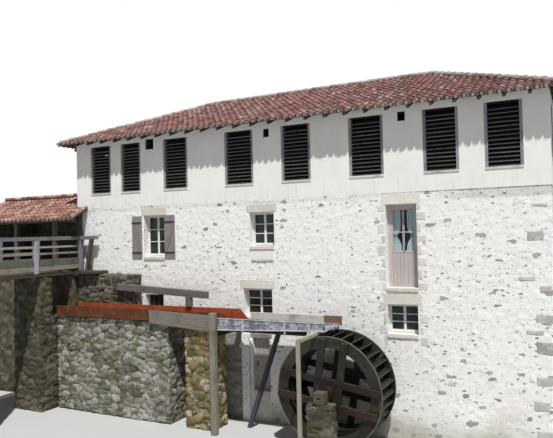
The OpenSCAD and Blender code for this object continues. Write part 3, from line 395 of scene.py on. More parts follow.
class Paint:
    """A material in the making, on one plain shader."""

    def __init__(self, name):
        self.material = bpy.data.materials.new(name)
        self.material.use_nodes = True
        self.tree = self.material.node_tree
        self.shader = self.tree.nodes["Principled BSDF"]

    def node(self, kind, **settings):
        """A new node of the material."""
        made = self.tree.nodes.new("ShaderNode" + kind)
        for key, value in settings.items():
            setattr(made, key, value)
        return made

    def feed(self, socket, value):
        """Links an output to a socket, or writes a plain value on it."""
        if isinstance(value, bpy.types.NodeSocket):
            self.tree.links.new(value, socket)
        else:
            socket.default_value = value

    def place(self, stretch=(1, 1, 1)):
        """Object coordinates, stretched."""
        mapping = self.node("Mapping")
        self.feed(mapping.inputs["Vector"], self.node("TexCoord").outputs["Object"])
        mapping.inputs["Scale"].default_value = stretch
        return mapping.outputs["Vector"]

    def along(self, axis):
        """One of the three coordinates, in metres."""
        split = self.node("SeparateXYZ")
        self.feed(split.inputs["Vector"], self.place())
        return split.outputs[axis]

    def mark(self, name):
        """A number kept in the mesh."""
        return self.node("Attribute", attribute_name=name).outputs["Fac"]

    def noise(self, scale, detail=4, rough=0.55, stretch=(1, 1, 1), warp=0.0):
        """Soft clouds of 0 to 1."""
        made = self.node("TexNoise")
        self.feed(made.inputs["Vector"], self.place(stretch))
        settings = {"Scale": scale, "Detail": detail, "Roughness": rough, "Distortion": warp}
        for socket, value in settings.items():
            made.inputs[socket].default_value = value
        return made.outputs["Fac"]

    def patches(self, low, high, *cloud):
        """0 to 1 as the clouds go from low to high."""
        return self.step(self.noise(*cloud), low, high)

    def cells(self, scale, stretch):
        """(distance from the middle of the nearest cell, three steady numbers of that cell)"""
        made = self.node("TexVoronoi")
        self.feed(made.inputs["Vector"], self.place(stretch))
        made.inputs["Scale"].default_value = scale
        split = self.node("SeparateColor")
        self.feed(split.inputs["Color"], made.outputs["Color"])
        return made.outputs["Distance"], split.outputs

    def specks(self, scale, stretch, share, size):
        """1 on ragged spots and 0 between them, and a tone for each spot.
        share of the cells hold a spot, and size is its reach as a part of a cell."""
        distance, own = self.cells(scale, stretch)
        ragged = self.add(distance, self.times(self.add(self.noise(scale * 3, 3), -0.5), 0.5))
        ragged = self.maths("DIVIDE", ragged, self.add(self.times(own["Green"], 0.6), 0.4))
        picked = self.step(own["Red"], 1 - share, 1.02 - share)
        return self.times(self.step(ragged, size, size * 0.6), picked), own["Blue"]

    def step(self, value, low, high):
        """0 to 1 as value goes from low to high."""
        made = self.node("MapRange", clamp=True, interpolation_type="SMOOTHSTEP")
        self.feed(made.inputs["Value"], value)
        made.inputs["From Min"].default_value = low
        made.inputs["From Max"].default_value = high
        return made.outputs["Result"]

    def maths(self, how, a, b=0.0):
        """One sum on one or two numbers."""
        made = self.node("Math", operation=how)
        self.feed(made.inputs[0], a)
        self.feed(made.inputs[1], b)
        return made.outputs["Value"]

    def times(self, a, b):
        return self.maths("MULTIPLY", a, b)

    def add(self, a, b):
        return self.maths("ADD", a, b)

    def mix(self, share, a, b):
        """a where the share is 0 and b where it is 1."""
        made = self.node("Mix", data_type="RGBA")
        self.feed(made.inputs[0], share)
        for socket, value in ((made.inputs[6], a), (made.inputs[7], b)):
            self.feed(socket, (*value, 1.0) if isinstance(value, tuple) else value)
        return made.outputs[2]

    def over(self, base, colour, *shares):
        """A colour over a base, as strong as the product of its shares."""
        share = shares[0]
        for other in shares[1:]:
            share = self.times(share, other)
        return self.mix(share, base, colour)

    def ramp(self, value, stops):
        """Colours at their places from 0 to 1, and what lies between them."""
        made = self.node("ValToRGB")
        self.feed(made.inputs["Fac"], value)
        row = made.color_ramp.elements
        while len(row) < len(stops):
            row.new(0.5)
        for element, (at, colour) in zip(row, stops):
            element.position = at
            element.color = (*colour, 1.0)
        return made.outputs["Color"]

    def finish(self, colour, rough=0.85, bump=None, depth=0.01, specular=0.3, metal=0.0):
        """Sets the shader, with a bump that is depth metres high, and gives the material."""
        if isinstance(colour, tuple):
            colour = (*colour, 1.0)
        self.feed(self.shader.inputs["Base Color"], colour)
        self.feed(self.shader.inputs["Roughness"], rough)
        self.shader.inputs["Specular IOR Level"].default_value = specular
        self.shader.inputs["Metallic"].default_value = metal
        if bump is not None:
            raised = self.node("Bump")
            raised.inputs["Distance"].default_value = depth
            raised.inputs["Strength"].default_value = 1.0
            self.feed(raised.inputs["Height"], bump)
            self.feed(self.shader.inputs["Normal"], raised.outputs["Normal"])
        return self.material


# Stretch of the grain along each axis, and colours, mostly as rows of (place, colour) for a ramp

GRAINS = {"X": (0.9, 9, 9), "Y": (9, 0.9, 9), "Z": (9, 9, 0.9), "N": (4, 4, 4)}
WOOD_STAIN = (0.03, 0.026, 0.022)
WASH = [(0.2, (0.85, 0.845, 0.82)), (0.5, (0.89, 0.89, 0.875)), (0.8, (0.91, 0.91, 0.90))]
BARE_STONE = [(0.0, (0.30, 0.29, 0.27)), (0.35, (0.43, 0.41, 0.37)), (0.6, (0.52, 0.49, 0.43)),
              (0.8, (0.38, 0.37, 0.36)), (1.0, (0.22, 0.22, 0.22))]
SPECK_STONE = [(0.0, (0.11, 0.11, 0.105)), (0.5, (0.27, 0.26, 0.245)), (1.0, (0.44, 0.43, 0.40))]


def spotted(p, wash):
    """Grey and dark specks of stone that show through a lime wash, thicker in some places."""
    crowd = p.patches(0.24, 0.50, 0.8, 3)
    large, large_tone = p.specks(6.5, (1, 1, 1.8), 0.34, 0.40)
    marks = p.patches(0.56, 0.615, 7.5, 7, 0.78, (1, 1, 2.1), 0.5)
    wash = p.over(wash, (0.40, 0.39, 0.375), marks, p.add(p.times(crowd, 0.75), 0.25), 0.72)
    small, small_tone = p.specks(12, (1, 1, 1.8), 0.30, 0.42)
    wash = p.over(wash, p.ramp(large_tone, SPECK_STONE), large, crowd, 0.95)
    return p.over(wash, p.ramp(small_tone, SPECK_STONE), small, p.add(p.times(crowd, 0.7), 0.25))


def limewash_paint():
    """Lime wash over rubble: stones show where it is thin, and all of them where it has gone."""
    p = Paint("limewash")
    broad = p.noise(0.9, 4)
    fine = p.noise(14, 6, 0.65)
    height = p.along("Z")
    joint = p.step(p.mark("joint"), 0.5, 0.0)
    wash = p.ramp(p.noise(2.6, 6, 0.6), WASH)
    wash = p.over(wash, (0.66, 0.65, 0.62), joint, 0.10)
    wash = p.over(wash, (0.76, 0.68, 0.60), p.step(height, 2.8, 0.6), p.step(broad, 0.35, 0.7), 0.45)
    # Painted shade: a grey band just under the loft wall on the right, standing for the shade below the
    # string line.
    painted_shade_band = p.times(p.step(height, 6.70, 6.80), p.step(p.along("X"), 4.6, 6.5))
    wash = p.over(wash, (0.62, 0.62, 0.59), painted_shade_band, 0.8)
    wash = spotted(p, wash)
    damp = p.step(p.add(height, p.times(broad, -1.2)), 0.5, -0.5)
    wash = p.over(wash, (0.38, 0.37, 0.30), damp, 0.8)
    stone = p.ramp(p.mark("tone"), BARE_STONE)
    stone = p.mix(p.step(fine, 0.35, 0.7), stone, p.mix(0.5, stone, (0.22, 0.21, 0.20)))
    ragged = p.times(p.add(fine, -0.5), 0.9)
    shown = p.step(p.add(p.mark("bare"), ragged), 0.42, 0.62)
    colour = p.mix(shown, wash, stone)
    bare_wall = p.over(stone, (0.20, 0.19, 0.165), joint, 0.85)
    bare_wall = p.over(bare_wall, (0.34, 0.33, 0.30), p.patches(0.48, 0.62, 5, 5, 0.7))
    colour = p.mix(p.step(p.add(p.mark("old"), ragged), 0.4, 0.6), colour, bare_wall)
    bump = p.add(p.times(fine, 0.7), p.times(p.noise(40, 4), 0.3))
    return p.finish(colour, 0.92, bump, 0.010, 0.2)


def plain_limewash_paint():
    """Lime wash on faces that carry no marks of their own."""
    p = Paint("limewash_plain")
    fine = p.noise(14, 6, 0.65)
    wash = spotted(p, p.ramp(p.noise(2.6, 6, 0.6), WASH))
    bump = p.add(p.noise(3.2, 5, 0.6, (1, 1, 2.2)), p.times(fine, 0.8))
    return p.finish(wash, 0.92, bump, 0.012, 0.2)


def render_paint():
    """Smooth off-white render of the loft, with faint streaks, and painted shade, near black, on its faces
    inside the loft and in its openings.
    """
    p = Paint("smooth_render")
    streaks = p.patches(0.52, 0.72, 3.0, 4, 0.6, (3.2, 3.2, 0.22))
    under = p.step(p.along("Z"), 7.75, 7.25)
    colour = p.over(p.ramp(p.noise(1.4, 5, 0.6), SMOOTH_RENDER), (0.62, 0.60, 0.56), streaks, under, 0.4)
    # Painted shade: faces more than a few centimetres into the loft's walls, away from its ends, turn near
    # black.
    across = p.step(p.maths("ABSOLUTE", p.along("X")), WALL_RIGHT - 0.05, WALL_RIGHT - 0.09)
    depth = p.along("Y")
    inside = p.times(p.step(depth, FRONT_Y + 0.01, FRONT_Y + 0.05),
                     p.step(depth, BACK_Y - 0.01, BACK_Y - 0.05))
    colour = p.over(colour, (0.05, 0.05, 0.05), across, inside)
    bump = p.add(p.noise(9, 5), p.times(p.noise(60, 3), 0.3))
    return p.finish(colour, 0.9, bump, 0.005, 0.2)


def masonry_paint(name, tints, moss=0.4, pale=0.35, fleck=(0.55, 0.54, 0.47)):
    """Bare rubble: a colour for each stone, dark joints, pale flecks and moss."""
    p = Paint(name)
    fine = p.noise(16, 6, 0.65)
    stone = p.over(p.ramp(p.mark("tone"), tints), (0.07, 0.065, 0.055), p.step(fine, 0.4, 0.7), 0.5)
    stone = p.over(stone, (0.05, 0.045, 0.038), p.step(p.mark("joint"), 0.35, 0.0), 0.75)
    stone = p.over(stone, fleck, p.patches(0.56, 0.68, 7.5, 5, 0.7), pale)
    stone = p.over(stone, (0.075, 0.085, 0.03), p.patches(0.48, 0.66, 2.2, 6, 0.7), moss)
    return p.finish(stone, 0.95, fine, 0.02, 0.2)


def abutment_paint():
    """Masonry under the trough: dark and mossy above, grey-white below, ochre on the short pier."""
    p = Paint("abutment_masonry")
    fine = p.noise(16, 6, 0.65)
    tone = p.mark("tone")
    dark = p.over(p.ramp(tone, DARK_STONE), (0.21, 0.205, 0.19),
                  p.patches(0.48, 0.66, 5, 5, 0.6, (2.4, 2.4, 0.3)), 0.6)
    stone = p.mix(p.step(p.along("Z"), 3.20, 3.35), p.ramp(tone, GREY_WHITE_STONE), dark)
    stone = p.mix(p.step(p.along("X"), -2.75, -2.55), stone, p.ramp(tone, OCHRE_STONE))
    stone = p.over(stone, (0.06, 0.05, 0.04), p.step(fine, 0.4, 0.7), 0.5)
    stone = p.over(stone, (0.035, 0.03, 0.022), p.step(p.mark("joint"), 0.35, 0.0), 0.8)
    stone = p.over(stone, (0.075, 0.08, 0.03), p.patches(0.47, 0.64, 2.6, 6, 0.7), 0.75)
    return p.finish(stone, 0.95, fine, 0.02, 0.2)


def granite_paint(name, tints, wash=0.35):
    """Pale dressed granite, speckled and a little washed."""
    p = Paint(name)
    colour = p.ramp(p.mark("tone"), tints)
    colour = p.over(colour, (0.36, 0.35, 0.29), p.patches(0.48, 0.62, 26, 5, 0.75), 0.45)
    colour = p.over(colour, (0.82, 0.815, 0.79), p.patches(0.48, 0.66, 5, 5, 0.7), wash)
    return p.finish(colour, 0.9, p.noise(22, 5, 0.7), 0.010, 0.25)


def tile_paint(name, tints, lichen=0.35):
    """Weathered clay tiles, each with its own colour, with soot, lichen and pale lower ends."""
    p = Paint(name)
    colour = p.ramp(p.mark("tone"), tints)
    colour = p.over(colour, (0.06, 0.04, 0.037), p.patches(0.46, 0.66, 6, 6, 0.7), 0.6)
    colour = p.over(colour, (0.46, 0.37, 0.33), p.patches(0.55, 0.66, 19, 5, 0.75), lichen)
    ends = p.step(p.mark("bare"), 0.80, 0.96)
    colour = p.over(colour, (0.46, 0.37, 0.34), ends, p.patches(0.38, 0.62, 7, 3), 0.55)
    return p.finish(colour, 0.88, p.noise(30, 5, 0.7), 0.008, 0.25)


def mortar_paint():
    """Pale lime mortar in the ends of the eaves' tiles."""
    p = Paint("mortar")
    return p.finish(p.ramp(p.noise(9, 5, 0.7), PALE_MORTAR), 0.95, p.noise(35, 4), 0.01, 0.2)


def wood_paint(name, tints, grain="X", wet=0.0, moss=0.0, rough=0.85, red_from=None):
    """Weathered timber with its grain along one axis, cracks, stains and moss.
    It is red-brown to the right of red_from."""
    p = Paint(name)
    fibre = p.noise(3.5, 8, 0.65, GRAINS[grain], 0.4)
    tone = p.add(p.times(p.mark("tone"), 0.5), p.times(fibre, 0.55))
    colour = p.ramp(tone, tints)
    if red_from is not None:
        colour = p.mix(p.step(p.along("X"), red_from, red_from + 0.03), colour, (0.19, 0.11, 0.07))
    colour = p.over(colour, WOOD_STAIN, p.step(fibre, 0.40, 0.30), 0.75)
    colour = p.over(colour, WOOD_STAIN, p.patches(0.50, 0.70, 1.8, 5, 0.6), 0.4)
    if moss:
        colour = p.over(colour, (0.06, 0.07, 0.025), p.patches(0.52, 0.68, 4, 6, 0.7), moss)
    shine = rough
    if wet:
        shine = p.maths("SUBTRACT", rough, p.times(p.patches(0.35, 0.65, 12, 4, 0.6), wet))
    return p.finish(colour, shine, fibre, 0.006, 0.3 if wet else 0.25)


def painted_wood(name, colour, worn, rough=0.6, chips=0.35):
    """Painted joinery with brush marks, dirt and small chips."""
    p = Paint(name)
    brush = p.noise(4, 6, 0.6, GRAINS["Z"])
    base = p.mix(p.step(brush, 0.3, 0.75), tuple(c * 0.88 for c in colour), colour)
    base = p.over(base, worn, p.patches(0.60, 0.70, 9, 6, 0.7), chips)
    base = p.over(base, tuple(c * 0.6 for c in colour), p.mark("tone"), 0.18)
    return p.finish(base, rough, brush, 0.003, 0.35)


def rust_paint():
    """Rusted sheet: dark and streaked on the near face, orange on the inner ones."""
    p = Paint("rusty_steel")
    blotch = p.noise(3.2, 7, 0.68)
    grit = p.noise(26, 5, 0.7)
    near = p.step(p.along("Y"), TROUGH_NEAR + 0.009, TROUGH_NEAR + 0.005)
    colour = p.mix(near, p.ramp(blotch, ORANGE_RUST), p.ramp(blotch, DARK_RUST))
    colour = p.over(colour, (0.035, 0.016, 0.012), p.step(grit, 0.55, 0.72), 0.5)
    colour = p.over(colour, (0.30, 0.13, 0.07), p.patches(0.55, 0.72, 3, 5, 0.6, (5, 5, 0.5)), 0.3)
    return p.finish(colour, 0.82, grit, 0.006, 0.25)


def zinc_paint(name, tints):
    """Zinc sheet, mottled dark and light, with pale runs."""
    p = Paint(name)
    cloud = p.noise(5.5, 8, 0.72, (0.8, 1, 1.3), 0.6)
    drips = p.patches(0.54, 0.68, 6, 5, 0.65, (2.6, 2.6, 0.35))
    colour = p.over(p.ramp(cloud, tints), (0.60, 0.60, 0.63), drips, 0.5)
    return p.finish(colour, p.add(p.times(cloud, 0.4), 0.4), p.noise(12, 5), 0.006, 0.35, 0.15)


def iron_paint():
    """Dark wrought iron with a little rust."""
    p = Paint("dark_iron")
    grit = p.noise(24, 6, 0.7)
    return p.finish(p.ramp(grit, IRON_TINTS), 0.7, grit, 0.003, 0.35, 0.2)


def glass_paint():
    """Old window glass, opaque, painted dark as the shade of the room behind it, and a little green."""
    p = Paint("window_glass")
    return p.finish(p.ramp(p.noise(2.5, 3), ROOM_SHADE_GLASS_TINTS), 0.12, p.noise(1.3, 2), 0.01, 0.28)


def thin_glass_paint():
    """Thin clear glass that dims what is behind it."""
    p = Paint("thin_glass")
    made = p.finish((0.04, 0.055, 0.055), 0.05, None, 0.0, 0.4)
    p.shader.inputs["Alpha"].default_value = 0.14
    return made


def cloth_paint():
    """Thin blue cloth with a fine weave."""
    p = Paint("curtain_cloth")
    weave = p.noise(90, 2, 0.5)
    made = p.finish(p.ramp(weave, CLOTH_TINTS), 0.9, weave, 0.001, 0.1)
    p.shader.inputs["Sheen Weight"].default_value = 0.2
    return made


# The other colours, and the finishes made with them

SMOOTH_RENDER = [(0.25, (0.80, 0.79, 0.75)), (0.55, (0.85, 0.845, 0.82)), (0.8, (0.88, 0.875, 0.86))]
DARK_STONE = [(0.0, (0.05, 0.042, 0.03)), (0.5, (0.12, 0.105, 0.08)), (1.0, (0.20, 0.19, 0.165))]
GREY_WHITE_STONE = [(0.0, (0.15, 0.14, 0.12)), (0.5, (0.30, 0.29, 0.25)), (1.0, (0.46, 0.45, 0.41))]
OCHRE_STONE = [(0.0, (0.14, 0.09, 0.04)), (0.5, (0.30, 0.23, 0.11)), (1.0, (0.50, 0.45, 0.34))]
PALE_MORTAR = [(0.3, (0.46, 0.42, 0.36)), (0.55, (0.66, 0.62, 0.55)), (0.8, (0.78, 0.74, 0.68))]
ORANGE_RUST = [(0.25, (0.16, 0.038, 0.016)), (0.5, (0.29, 0.07, 0.027)), (0.78, (0.42, 0.14, 0.055))]
DARK_RUST = [(0.25, (0.035, 0.013, 0.006)), (0.5, (0.10, 0.034, 0.013)), (0.78, (0.20, 0.075, 0.028))]
IRON_TINTS = [(0.3, (0.018, 0.016, 0.016)), (0.55, (0.045, 0.036, 0.03)), (0.75, (0.12, 0.06, 0.035))]
ZINC_TINTS = [(0.32, (0.05, 0.05, 0.062)), (0.46, (0.15, 0.15, 0.175)),
              (0.56, (0.33, 0.33, 0.375)), (0.72, (0.62, 0.62, 0.66))]
PALE_ZINC_TINTS = [(0.3, (0.32, 0.32, 0.34)), (0.6, (0.52, 0.52, 0.54)), (0.8, (0.66, 0.66, 0.67))]
# Painted shade: opaque panes as dark as the unlit rooms behind them.
ROOM_SHADE_GLASS_TINTS = [(0.3, (0.010, 0.014, 0.013)), (0.7, (0.032, 0.042, 0.039))]
CLOTH_TINTS = [(0.3, (0.58, 0.79, 0.85)), (0.7, (0.68, 0.87, 0.91))]
CLAY = [(0.0, (0.076, 0.035, 0.033)), (0.2, (0.174, 0.074, 0.069)), (0.42, (0.249, 0.111, 0.103)),
        (0.6, (0.318, 0.154, 0.145)), (0.75, (0.257, 0.104, 0.079)), (0.88, (0.189, 0.128, 0.124)),
        (1.0, (0.454, 0.309, 0.289))]
PINK_CLAY = [(0.0, (0.149, 0.064, 0.052)), (0.3, (0.273, 0.117, 0.092)), (0.6, (0.355, 0.166, 0.129)),
             (0.85, (0.414, 0.235, 0.193)), (1.0, (0.546, 0.408, 0.355))]
# Painted shade: the pan tiles lie in the shaded channels between the covers, so their clay is painted near
# black.
SHADED_PAN_CLAY = [(0.0, (0.04, 0.022, 0.021)), (0.5, (0.088, 0.044, 0.04)), (1.0, (0.144, 0.08, 0.072))]
PALE_CLAY = [(0.0, (0.245, 0.18, 0.159)), (0.5, (0.361, 0.296, 0.267)), (1.0, (0.462, 0.412, 0.382))]
GREY_STONE = [(0.0, (0.09, 0.085, 0.075)), (0.3, (0.17, 0.16, 0.14)), (0.6, (0.14, 0.12, 0.09)),
              (0.8, (0.24, 0.225, 0.19)), (1.0, (0.07, 0.063, 0.052))]
MOSSY_STONE = [(0.0, (0.04, 0.036, 0.025)), (0.5, (0.095, 0.082, 0.06)), (1.0, (0.17, 0.155, 0.125))]
DRESSED = [(0.0, (0.647, 0.622, 0.558)), (0.5, (0.744, 0.714, 0.645)), (1.0, (0.83, 0.805, 0.732))]
CORNER = [(0.0, (0.34, 0.34, 0.33)), (0.5, (0.44, 0.435, 0.42)), (1.0, (0.54, 0.53, 0.51))]
JAMB = [(0.0, (0.60, 0.60, 0.58)), (0.5, (0.69, 0.685, 0.66)), (1.0, (0.78, 0.775, 0.75))]
SILVER = [(0.1, (0.07, 0.066, 0.062)), (0.45, (0.16, 0.15, 0.14)), (0.9, (0.30, 0.285, 0.265))]
LILAC = [(0.1, (0.13, 0.127, 0.146)), (0.45, (0.247, 0.242, 0.27)), (0.9, (0.403, 0.397, 0.439))]
BROWN = [(0.1, (0.045, 0.034, 0.026)), (0.5, (0.10, 0.08, 0.063)), (0.9, (0.19, 0.16, 0.13))]
STRAW = [(0.1, (0.12, 0.11, 0.085)), (0.45, (0.25, 0.235, 0.185)), (0.9, (0.40, 0.38, 0.31))]
DARK_GREY = [(0.1, (0.03, 0.027, 0.025)), (0.5, (0.085, 0.078, 0.075)), (0.9, (0.19, 0.18, 0.175))]
DARK_STRAW = [(0.1, (0.07, 0.064, 0.05)), (0.45, (0.18, 0.168, 0.13)), (0.9, (0.31, 0.295, 0.24))]
MOTTLED = [(0.15, (0.036, 0.028, 0.024)), (0.5, (0.106, 0.087, 0.072)), (0.85, (0.238, 0.212, 0.185))]
PALE_BOARD = [(0.1, (0.34, 0.32, 0.29)), (0.5, (0.53, 0.505, 0.465)), (0.9, (0.64, 0.62, 0.58))]
SHADE = [(0.1, (0.015, 0.014, 0.013)), (0.9, (0.06, 0.055, 0.05))]
BLUE_SHADE = [(0.1, (0.03, 0.033, 0.04)), (0.9, (0.09, 0.097, 0.115))]
WET = [(0.1, (0.006, 0.006, 0.005)), (0.5, (0.018, 0.015, 0.013)), (0.9, (0.044, 0.039, 0.034))]
OLIVE_WET = [(0.1, (0.006, 0.006, 0.003)), (0.5, (0.017, 0.015, 0.01)), (0.9, (0.036, 0.032, 0.021))]
RUSTY_WET = [(0.1, (0.004, 0.002, 0.002)), (0.5, (0.012, 0.005, 0.003)), (0.9, (0.026, 0.013, 0.007))]

LIMEWASH = limewash_paint()
PLAIN_LIMEWASH = plain_limewash_paint()
RENDER = render_paint()
GRANITE = granite_paint("granite", DRESSED)
CORNER_STONE = granite_paint("corner_stone", CORNER, 0.45)
JAMB_STONE = granite_paint("jamb_stone", JAMB, 0.6)
MASONRY = masonry_paint("rubble_masonry", GREY_STONE, 0.45)
# Partly painted shade: the shed's rubble is made dark for the shade inside the shed, with ochre stones of
# its own.
SHED_MASONRY = masonry_paint("shed_masonry", GREY_STONE, 0.5, 0.5, (0.42, 0.33, 0.16))
MOSSY_MASONRY = masonry_paint("mossy_masonry", MOSSY_STONE, 0.7, 0.3, (0.30, 0.29, 0.25))
ABUTMENT = abutment_paint()
TILES = tile_paint("clay_tiles", CLAY)
PINK_TILES = tile_paint("pink_clay_tiles", PINK_CLAY, 0.45)
SHADED_PAN_TILES = tile_paint("shaded_pan_tiles", SHADED_PAN_CLAY, 0.15)
PALE_TILES = tile_paint("pale_clay_tiles", PALE_CLAY, 0.3)
MORTAR = mortar_paint()
GREY_X = wood_paint("grey_timber_x", SILVER, "X")
DARK_GREY_X = wood_paint("dark_grey_timber", DARK_GREY, "X")
LILAC_Y, LILAC_Z = [wood_paint("lilac_timber_" + axis.lower(), LILAC, axis) for axis in "YZ"]
BROWN_X, BROWN_Y, BROWN_Z = [wood_paint("brown_timber_" + axis.lower(), BROWN, axis) for axis in "XYZ"]
STRAW_Y, STRAW_Z = [wood_paint("straw_timber_" + axis.lower(), STRAW, axis) for axis in "YZ"]
DARK_STRAW_Z = wood_paint("dark_straw_timber", DARK_STRAW, "Z")
MOTTLED_X = wood_paint("mottled_board", MOTTLED, "X")
PALE_X = wood_paint("pale_board", PALE_BOARD, "X", red_from=1.99)
SLAT_Y = wood_paint("pale_slats", [(0.1, (0.17, 0.16, 0.145)), (0.9, (0.44, 0.42, 0.385))], "Y")
SHADE_X = wood_paint("shaded_timber", SHADE, "X")
# Painted shade: the prop in the middle is painted dark blue-grey, the colour of timber in shade.
BLUE_SHADE_Z = wood_paint("blue_grey_shaded_prop", BLUE_SHADE, "Z")
# Painted shade: the boards under the tiles, seen from below at the eaves, are near black.
SHADED_EAVES_WOOD = wood_paint("shaded_eaves_timber", SHADE, "N")
# Painted shade: the slats and louvre heads are near black, for the dark loft behind them.
SHADED_SLAT_WOOD = wood_paint("shaded_louvre_slats", [(0.1, (0.004, 0.004, 0.004)), (0.9, (0.022, 0.021, 0.020))], "N")
# Painted highlight: a paler strip along the front edge of each slat, where the light catches it.
LIT_SLAT_EDGE = wood_paint("louvre_slat_edge_highlights", [(0.1, (0.07, 0.07, 0.075)), (0.9, (0.23, 0.225, 0.235))], "N")
JAMB_WOOD = wood_paint("louvre_jambs", [(0.1, (0.19, 0.19, 0.21)), (0.9, (0.36, 0.355, 0.385))], "Z")
PALE_SILL = wood_paint("louvre_sills", [(0.1, (0.56, 0.52, 0.47)), (0.9, (0.74, 0.71, 0.66))], "X")
WET_N = wood_paint("wet_timber", WET, "N", 0.35, 0.25, 0.65)
WET_Y = wood_paint("wet_boards", WET, "Y", 0.4, 0.15, 0.6)
OLIVE = wood_paint("olive_wet_timber", OLIVE_WET, "N", 0.3, 0.45, 0.75)
RUSTY = wood_paint("rusty_wet_timber", RUSTY_WET, "N", 0.3, 0.15, 0.75)
WORN_EDGE = wood_paint("worn_edge", [(0.1, (0.10, 0.095, 0.08)), (0.9, (0.22, 0.21, 0.18))], "N")
WHITE = painted_wood("white_paint", (0.80, 0.81, 0.80), (0.55, 0.53, 0.48), 0.45, 0.2)
TAUPE = painted_wood("taupe_paint", (0.52, 0.465, 0.455), (0.34, 0.31, 0.28))
MAUVE = painted_wood("mauve_paint", (0.27, 0.248, 0.24), (0.16, 0.14, 0.13))
DOOR_GREY = painted_wood("worn_door_paint", (0.42, 0.39, 0.365), (0.24, 0.21, 0.18))
DARK_FRAME = painted_wood("dark_paint", (0.06, 0.058, 0.055), (0.12, 0.11, 0.10))
RUST = rust_paint()
ZINC = zinc_paint("zinc_sheet", ZINC_TINTS)
PALE_ZINC = zinc_paint("pale_zinc", PALE_ZINC_TINTS)
IRON = iron_paint()
GLASS = glass_paint()
THIN_GLASS = thin_glass_paint()
CLOTH = cloth_paint()
BEIGE_Y = wood_paint("beige_boards", [(0.1, (0.16, 0.15, 0.13)), (0.9, (0.36, 0.335, 0.295))], "Y")
GREEN_Y = wood_paint("grey_green_boards", [(0.1, (0.085, 0.09, 0.078)), (0.9, (0.22, 0.225, 0.195))], "Y")
PALE_CAP = wood_paint("pale_rail_top", [(0.1, (0.14, 0.137, 0.14)), (0.9, (0.29, 0.283, 0.29))], "N")
FLOOR_WOOD = wood_paint("floor_boards", [(0.1, (0.16, 0.11, 0.07)), (0.9, (0.34, 0.26, 0.18))], "X")


def dress(node, *materials):
    """A CAD node that stays in view takes its material."""
    mesh = NODE[node].data
    mesh.materials.clear()
    for material in materials:
        mesh.materials.append(material)


# Walls


def rubble_mark(u, v, more=0.0, long=0.30, high=0.135, salt=0.0):
    """Joint depth, tone and bareness of a rubble wall at a point of its face.
    more is how many more of its stones are bare there."""
    warp = noise.noise_vector(Vector((u * 1.7, v * 1.7, salt))) * 0.05
    at = Vector(((u + warp.x) / long, (v + warp.y) / high, salt))
    gaps, points = noise.voronoi(at)
    joint = smooth(0.0, 0.30, gaps[1] - gaps[0])
    tone = chance(points[0], salt)
    pick = chance(points[0], salt + 4.0)
    crowd = 0.5 + 0.5 * noise.noise(Vector((u * 0.45, v * 0.45, salt + 9.0)))
    bare = smooth(0.94 - 0.10 * crowd - more, 1.00 - 0.09 * crowd - more, pick)
    return joint, tone, bare * smooth(0.10, 0.42, gaps[1] - gaps[0])


def front_wear(u, z):
    """(more bare stones, bare masonry, swelling) on the front wall: stones low on the right,
    no wash at all beside the low door, and a swelling where it meets the loft wall."""
    x = u + WALL_LEFT
    ragged = 0.25 * noise.noise(Vector((u * 1.3, z * 1.3, 4.0)))
    more = 0.14 * smooth(4.2, 5.4, x) * smooth(3.4, 1.8, z)
    old = smooth(-2.95, -2.7, x + ragged) * smooth(-1.01, -1.05, x) * smooth(3.1, 2.8, z + ragged)
    swell = LOFT_SWELL * smooth(LOFT_Z - 0.16, LOFT_Z - 0.02, z) * smooth(5.2, 3.2, x)
    return more, old if LOWER_WALL_Y < FRONT_Y else 0.0, swell


def clean(u, z):
    """No more wear than elsewhere."""
    return 0.0, 0.0, 0.0


def rubble_grid(columns, rows, width, top, holes):
    """A flat grid along a wall, open at the holes, and the place of each of its vertices."""
    shape = new_shape()
    bmesh.ops.create_grid(shape, x_segments=columns, y_segments=rows, size=0.5)
    at_column = {}
    at_row = {}
    for left, low, right, high in holes:
        for value in (left, right):
            at_column[round(value / width * columns)] = value
        for value in (low, high):
            at_row[round(value / top * rows)] = value
    spots = {}
    for vert in shape.verts:
        i = round((vert.co.x + 0.5) * columns)
        j = round((vert.co.y + 0.5) * rows)
        spots[vert] = (at_column.get(i, i * width / columns), at_row.get(j, j * top / rows))
        vert.co = Vector((*spots[vert], 0))
    inside = []
    for face in shape.faces:
        middle = face.calc_center_median()
        if any(left < middle.x < right and low < middle.y < high for left, low, right, high in holes):
            inside.append(face)
    bmesh.ops.delete(shape, geom=inside, context="FACES")
    return shape, spots


def rubble_skin(name, corner, across, width, top, holes, grid, salt, wear):
    """The lime-washed face of a rubble wall, its stones standing out a little.
    holes are (left, low, right, high) along the face, kept open and flush at their edges."""
    shape, spots = rubble_grid(round(width / grid), round(top / grid), width, top, holes)
    layers = [shape.verts.layers.float[mark] for mark in ("joint", "tone", "bare")]
    worn = shape.verts.layers.float["old"]
    across = Vector(across)
    outward = across.cross(Vector((0, 0, 1)))
    corner = Vector(corner)
    for vert in shape.verts:
        u, z = spots[vert]
        more, vert[worn], swell = wear(u, z)
        marks = rubble_mark(u, z, more, salt=salt)
        for layer, value in zip(layers, marks):
            vert[layer] = value
        relief = RUBBLE_RELIEF * (1 + vert[worn])
        lift = relief * marks[0] * (0.35 + 0.65 * chance(Vector((marks[1], 0, 0))))
        lift += 0.004 * noise.noise(Vector((u * 6, z * 6, salt)))
        flush = vert.is_boundary and z < top - grid
        lift = 0.001 if flush else max(0.001, lift + 0.002 + swell)
        vert.co = corner + across * u + Vector((0, 0, z)) + outward * lift
    turn_out(shape, outward)
    piece = add_piece(name, shape, [LIMEWASH], "mill")
    piece.data.shade_smooth()


